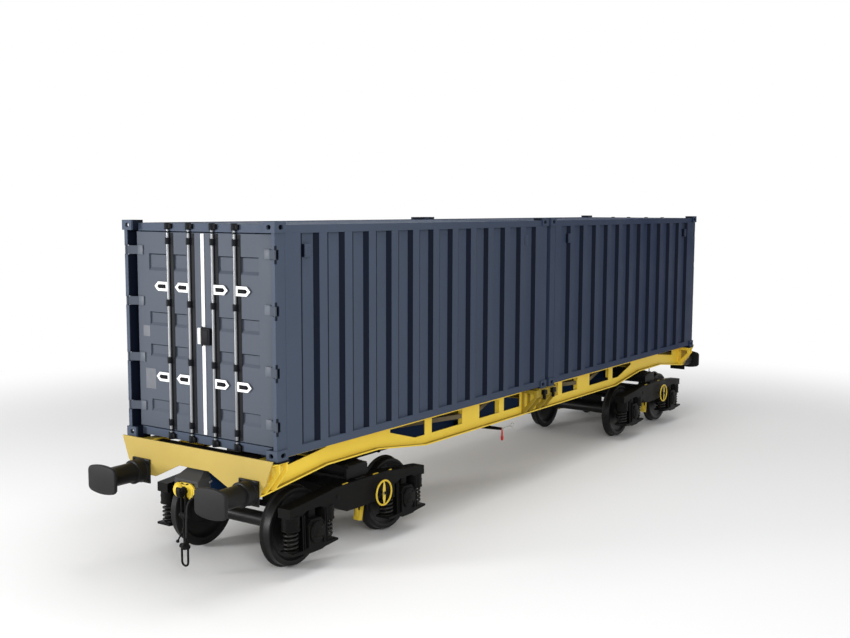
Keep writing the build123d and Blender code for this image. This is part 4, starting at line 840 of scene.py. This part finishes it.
GROOVES, GROOVE_PITCH, GROOVE_WIDTH, GROOVE_SLANT, GROOVE_DEPTH = 12, 0.450, 0.312, 0.064, 0.038
GROOVE_SHIFT, RAIL_X, SKIN_Y, SHEET_LOW, SHEET_RISE = -0.030, 2.851, 1.201, 0.115, 2.356
wall_slate = slate("container_blue_walls")
groove_shade_navy = coat("groove_shade_navy", SHADE_NAVY, 1.4 * SHADE_NAVY, 3 * SHADE_NAVY, 0.55, 0.7, specular=0.1, highlight=0.2, bump=0.02)
for end, _ in ENDS:
    walls = bmesh.new()
    for side in (-1, 1):
        sheet = [(-RAIL_X, SKIN_Y)]
        for index in range(GROOVES):
            mid = (index - (GROOVES - 1) / 2) * GROOVE_PITCH + GROOVE_SHIFT
            for dx, dip in ((-0.5 * GROOVE_WIDTH, 0), (-0.5 * GROOVE_WIDTH + GROOVE_SLANT, GROOVE_DEPTH),
                            (0.5 * GROOVE_WIDTH - GROOVE_SLANT, GROOVE_DEPTH), (0.5 * GROOVE_WIDTH, 0)):
                sheet.append((mid + dx, SKIN_Y - dip))
        sheet.append((RAIL_X, SKIN_Y))
        foot = [walls.verts.new((x, side * y, SHEET_LOW)) for x, y in sheet]
        line = [walls.edges.new(pair) for pair in zip(foot, foot[1:])]
        raised = bmesh.ops.extrude_edge_only(walls, edges=line)["geom"]
        bmesh.ops.translate(walls, vec=(0, 0, SHEET_RISE), verts=[item for item in raised
                                                                  if isinstance(item, bmesh.types.BMVert)])
    for face in walls.faces:
        face.normal_update()
        # painted shade: faces that look along the wall, the groove flanks, take the navy
        face.material_index = int(abs(face.normal.x) > 0.2)
    made = add_door_piece("pressed_walls", end, walls, wall_slate, f"container_{end}", "container_blue",
                          smooth=0, stands_for=f"side_walls_{end}")
    made.data.materials.append(groove_shade_navy)
    thick = made.modifiers.new("sheet", "SOLIDIFY")
    thick.thickness = 0.004
    thick.offset = 0

# Lock rods: two upright tubes on each door leaf, bright zinc, that turn in black guides; black cams at both
# ends hook behind the keepers on the frame. A black strip on the leaf beside each rod is a painted shadow of
# the rod.
def brick(shape, low, high, round_by=0.0, steps=2):
    """A block between two corners, its edges rounded."""
    low, high = Vector(low), Vector(high)
    slab(shape, (low + high) / 2, high - low, round_by, steps)


LEAVES = [(end, leaf, side, f"leaf_{leaf}_{end}") for end, _ in ENDS
          for leaf, side in (("left", 1), ("right", -1))]
LEAF_X, ROD_X, ROD_Y, ROD_R = 2.922, 2.939, (0.190, 0.536), 0.0165
GUIDE_Z = (0.226, 0.963, 1.635, 2.354)
HANDLE_Z = (0.755, 1.822)
rod_zinc = coat(
    "rod_zinc", (0.30, 0.31, 0.32), (0.22, 0.225, 0.235), 0.4, 0.36, 0.48, metallic=0.6, highlight=0.0,
    width=0.001, patch=1.6, skin=700, bump=0.04)
guide_black = coat(
    "guide_black", (0.0030, 0.0035, 0.0055), (0.005, 0.006, 0.008), (0.02, 0.02, 0.026), 0.5, 0.65,
    specular=0.12, highlight=0.4, width=0.003)
for end, leaf, side, body in LEAVES:
    tubes = bmesh.new()
    guides = bmesh.new()
    for y in ROD_Y:
        y = side * y
        drum(tubes, (ROD_X, y, 0.040), (ROD_X, y, 2.552), ROD_R, 20)
        # painted shadow: a black strip on the leaf, set further to one side of the rod, in place of its cast
        # shadow
        brick(guides, (LEAF_X - 0.002, y - 0.022, 0.140), (LEAF_X + 0.003, y + 0.078, 2.446), 0.001, 1)
        for z in GUIDE_Z:
            brick(guides, (LEAF_X - 0.002, y - 0.046, z - 0.044), (LEAF_X + 0.006, y + 0.062, z + 0.044),
                  0.003)
            drum(guides, (ROD_X, y, z - 0.038), (ROD_X, y, z + 0.038), 0.030, 20, round_by=0.004)
            for dy in (-0.033, 0.033):
                bolt_head(guides, (LEAF_X + 0.006, y + dy, z), (1, 0, 0), 0.006, 0.006)
        for z, up in ((0.066, 1), (2.526, -1)):
            drum(guides, (ROD_X, y, z - 0.040), (ROD_X, y, z + 0.040), 0.036, 18, round_by=0.004)
            brick(guides, (ROD_X - 0.014, y - 0.012, z - 0.030), (ROD_X + 0.016, y + 0.056, z + 0.030), 0.004)
            drum(guides, (ROD_X, y, z + up * 0.060), (ROD_X, y, z + up * 0.078), 0.0225, 18, round_by=0.003)
    add_door_piece(f"lock_tubes_{leaf}", end, tubes, rod_zinc, body, "bright_steel",
                   stands_for=f"lock_rods_{leaf}_{end}")
    add_door_piece(f"rod_guides_{leaf}", end, guides, guide_black, body, "black_steel")

# Handle plates: five-sided white cover plates beside every lock rod, pointed away from the
# gap, each with a long slot through which a black grip shows. Pressed sheet, white enamel.
PLATE_X, GRIP_X = LEAF_X + 0.022, LEAF_X + 0.017
plate_white = coat("plate_white", 0.86, 0.80, 0.9, 0.35, 0.5, specular=0.3, highlight=0.3, width=0.002, patch=5)
for end, leaf, side, body in LEAVES:
    plates = bmesh.new()
    grips = bmesh.new()
    for z in HANDLE_Z:
        for y0 in (ROD_Y[0] + 0.012, ROD_Y[1] + 0.012):
            outline = [(y0, z - 0.054), (y0 + 0.165, z - 0.054), (y0 + 0.222, z), (y0 + 0.165, z + 0.054),
                       (y0, z + 0.054)]
            sheet = plates.faces.new([plates.verts.new((PLATE_X, side * y, height)) for y, height in outline])
            sheet.normal_update()
            bmesh.ops.inset_region(plates, faces=[sheet], use_boundary=True, use_even_offset=True,
                                   thickness=0.030)
            bmesh.ops.delete(plates, geom=[sheet], context="FACES_ONLY")
            slab(grips, (LEAF_X + 0.007, side * (y0 + 0.10), z), (0.010, 0.16, 0.064), 0.004)
            drum(grips, (GRIP_X, side * (y0 + 0.045), z), (GRIP_X, side * (y0 + 0.150), z), 0.013, 14,
                 round_by=0.006)
            for y in (y0 + 0.012, y0 + 0.160):
                for dz in (-0.040, 0.040):
                    drum(plates, (LEAF_X, side * y, z + dz), (LEAF_X + 0.024, side * y, z + dz), 0.006, 8)
    sheets = [face for face in plates.faces if abs(face.calc_center_median().x - PLATE_X) < 0.0001]
    bmesh.ops.recalc_face_normals(plates, faces=plates.faces)
    bmesh.ops.solidify(plates, geom=sheets, thickness=0.004)
    add_door_piece(f"handle_plates_{leaf}", end, plates, plate_white, body, "bright_steel")
    add_door_piece(f"handle_grips_{leaf}", end, grips, guide_black, body, "black_steel")

# Door gasket and lock box: a white rubber strip over the gap between the leaves, held by the
# left leaf, broken by a black steel lock box; the right leaf carries the box's white keep.
gasket_white = coat("gasket_white", 0.86, 0.80, 0.9, 0.5, 0.65)
for end, _ in ENDS:
    strip = bmesh.new()
    for low, high in ((0.142, 1.180), (1.386, 2.446)):
        brick(strip, (LEAF_X, -0.004, low), (LEAF_X + 0.011, 0.046, high), 0.004)
    keep = bmesh.new()
    brick(keep, (LEAF_X, -0.056, 1.190), (LEAF_X + 0.034, -0.010, 1.376), 0.006)
    box = bmesh.new()
    brick(box, (LEAF_X, 0.010, 1.186), (LEAF_X + 0.046, 0.150, 1.380), 0.008)
    brick(box, (LEAF_X + 0.040, 0.030, 1.206), (LEAF_X + 0.052, 0.130, 1.360), 0.005)
    drum(box, (LEAF_X + 0.030, 0.020, 1.172), (LEAF_X + 0.030, 0.020, 1.394), 0.010, 12)
    add_door_piece("door_gasket", end, strip, gasket_white, f"leaf_left_{end}", "container_blue")
    add_door_piece("lock_keep", end, keep, plate_white, f"leaf_right_{end}", "bright_steel")
    add_door_piece("lock_box", end, box, guide_black, f"leaf_left_{end}", "black_steel")

# Hinge straps: flat pads of lighter bare-looking steel welded to the leaves opposite every
# hinge knuckle.
strap_grey = coat(
    "hinge_grey", (0.080, 0.092, 0.115), (0.095, 0.108, 0.132), (0.16, 0.18, 0.21), 0.42, 0.56, specular=0.25,
    highlight=0.5, width=0.003)
for end, leaf, side, body in LEAVES:
    straps = bmesh.new()
    for z in HINGE_Z:
        slab(straps, (LEAF_X + 0.00825, side * 1.018, z), (0.0165, 0.092, 0.112), 0.004)
    add_door_piece(f"hinge_pads_{leaf}", end, straps, strap_grey, body, "container_blue")

# Door seals: a black rubber strip down each leaf's hinge side, and painted steel lips along
# its top and foot, pressed into the gap between leaf and frame.
SEAL_X, SEAL_MID_Z = LEAF_X - 0.021, 1.293
for end, leaf, side, body in LEAVES:
    seal = bmesh.new()
    lips = bmesh.new()
    slab(seal, (SEAL_X, side * 1.088, SEAL_MID_Z), (0.018, 0.010, 2.312), 0.003)
    for z in (0.137, 2.449):
        slab(lips, (SEAL_X + 0.005, side * 0.5515, z), (0.028, 1.083, 0.012), 0.001, 1)
    add_door_piece(f"door_lips_{leaf}", end, lips, wall_slate, body, "container_blue")
    add_door_piece(f"door_seal_{leaf}", end, seal, rubber, body, "hose_rubber")

# Blank plates: thin aluminium data plates, stamped from sheet and riveted to a leaf at
# their corners, left without any text.
plate_bare = coat(
    "plate_bare", (0.100, 0.108, 0.125), (0.120, 0.130, 0.148), (0.2, 0.21, 0.23), 0.35, 0.5, specular=0.3,
    highlight=0.5, width=0.002, patch=8)
for end, _ in ENDS:
    bare = bmesh.new()
    for y0, y1, z0, z1 in ((-0.977, -0.800, 0.591, 0.835), (-1.003, -0.885, 1.215, 1.345)):
        brick(bare, (LEAF_X, y0, z0), (LEAF_X + 0.003, y1, z1), 0.001, 1)
        for y in (y0 + 0.010, y1 - 0.010):
            for z in (z0 + 0.010, z1 - 0.010):
                drum(bare, (LEAF_X + 0.002, y, z), (LEAF_X + 0.005, y, z), 0.004, 8, 0.002)
    add_door_piece("blank_plates", end, bare, plate_bare, f"leaf_right_{end}", "container_blue")

# Ventilators: small louvred hoods of pressed steel, riveted high on both side walls near each end; their
# ends, which look along the wall, carry the navy as painted shade.
vent_slate = lay_painted_shade(slate("container_blue_vents", 1.0, 0.002), [[(1, 0, 0)], [(-1, 0, 0)]], SHADE_NAVY)
for end, _ in ENDS:
    vents = bmesh.new()
    for x in (2.485, -2.375):
        for side in (-1, 1):
            slab(vents, (x, side * 1.183, 2.2725), (0.110, 0.046, 0.145), 0.006)
            for row in range(4):
                slab(vents, (x, side * 1.20675, 2.225 + row * 0.030), (0.090, 0.0035, 0.014), 0.0015, 1)
    add_door_piece("vent_hoods", end, vents, vent_slate, f"container_{end}", "container_blue")
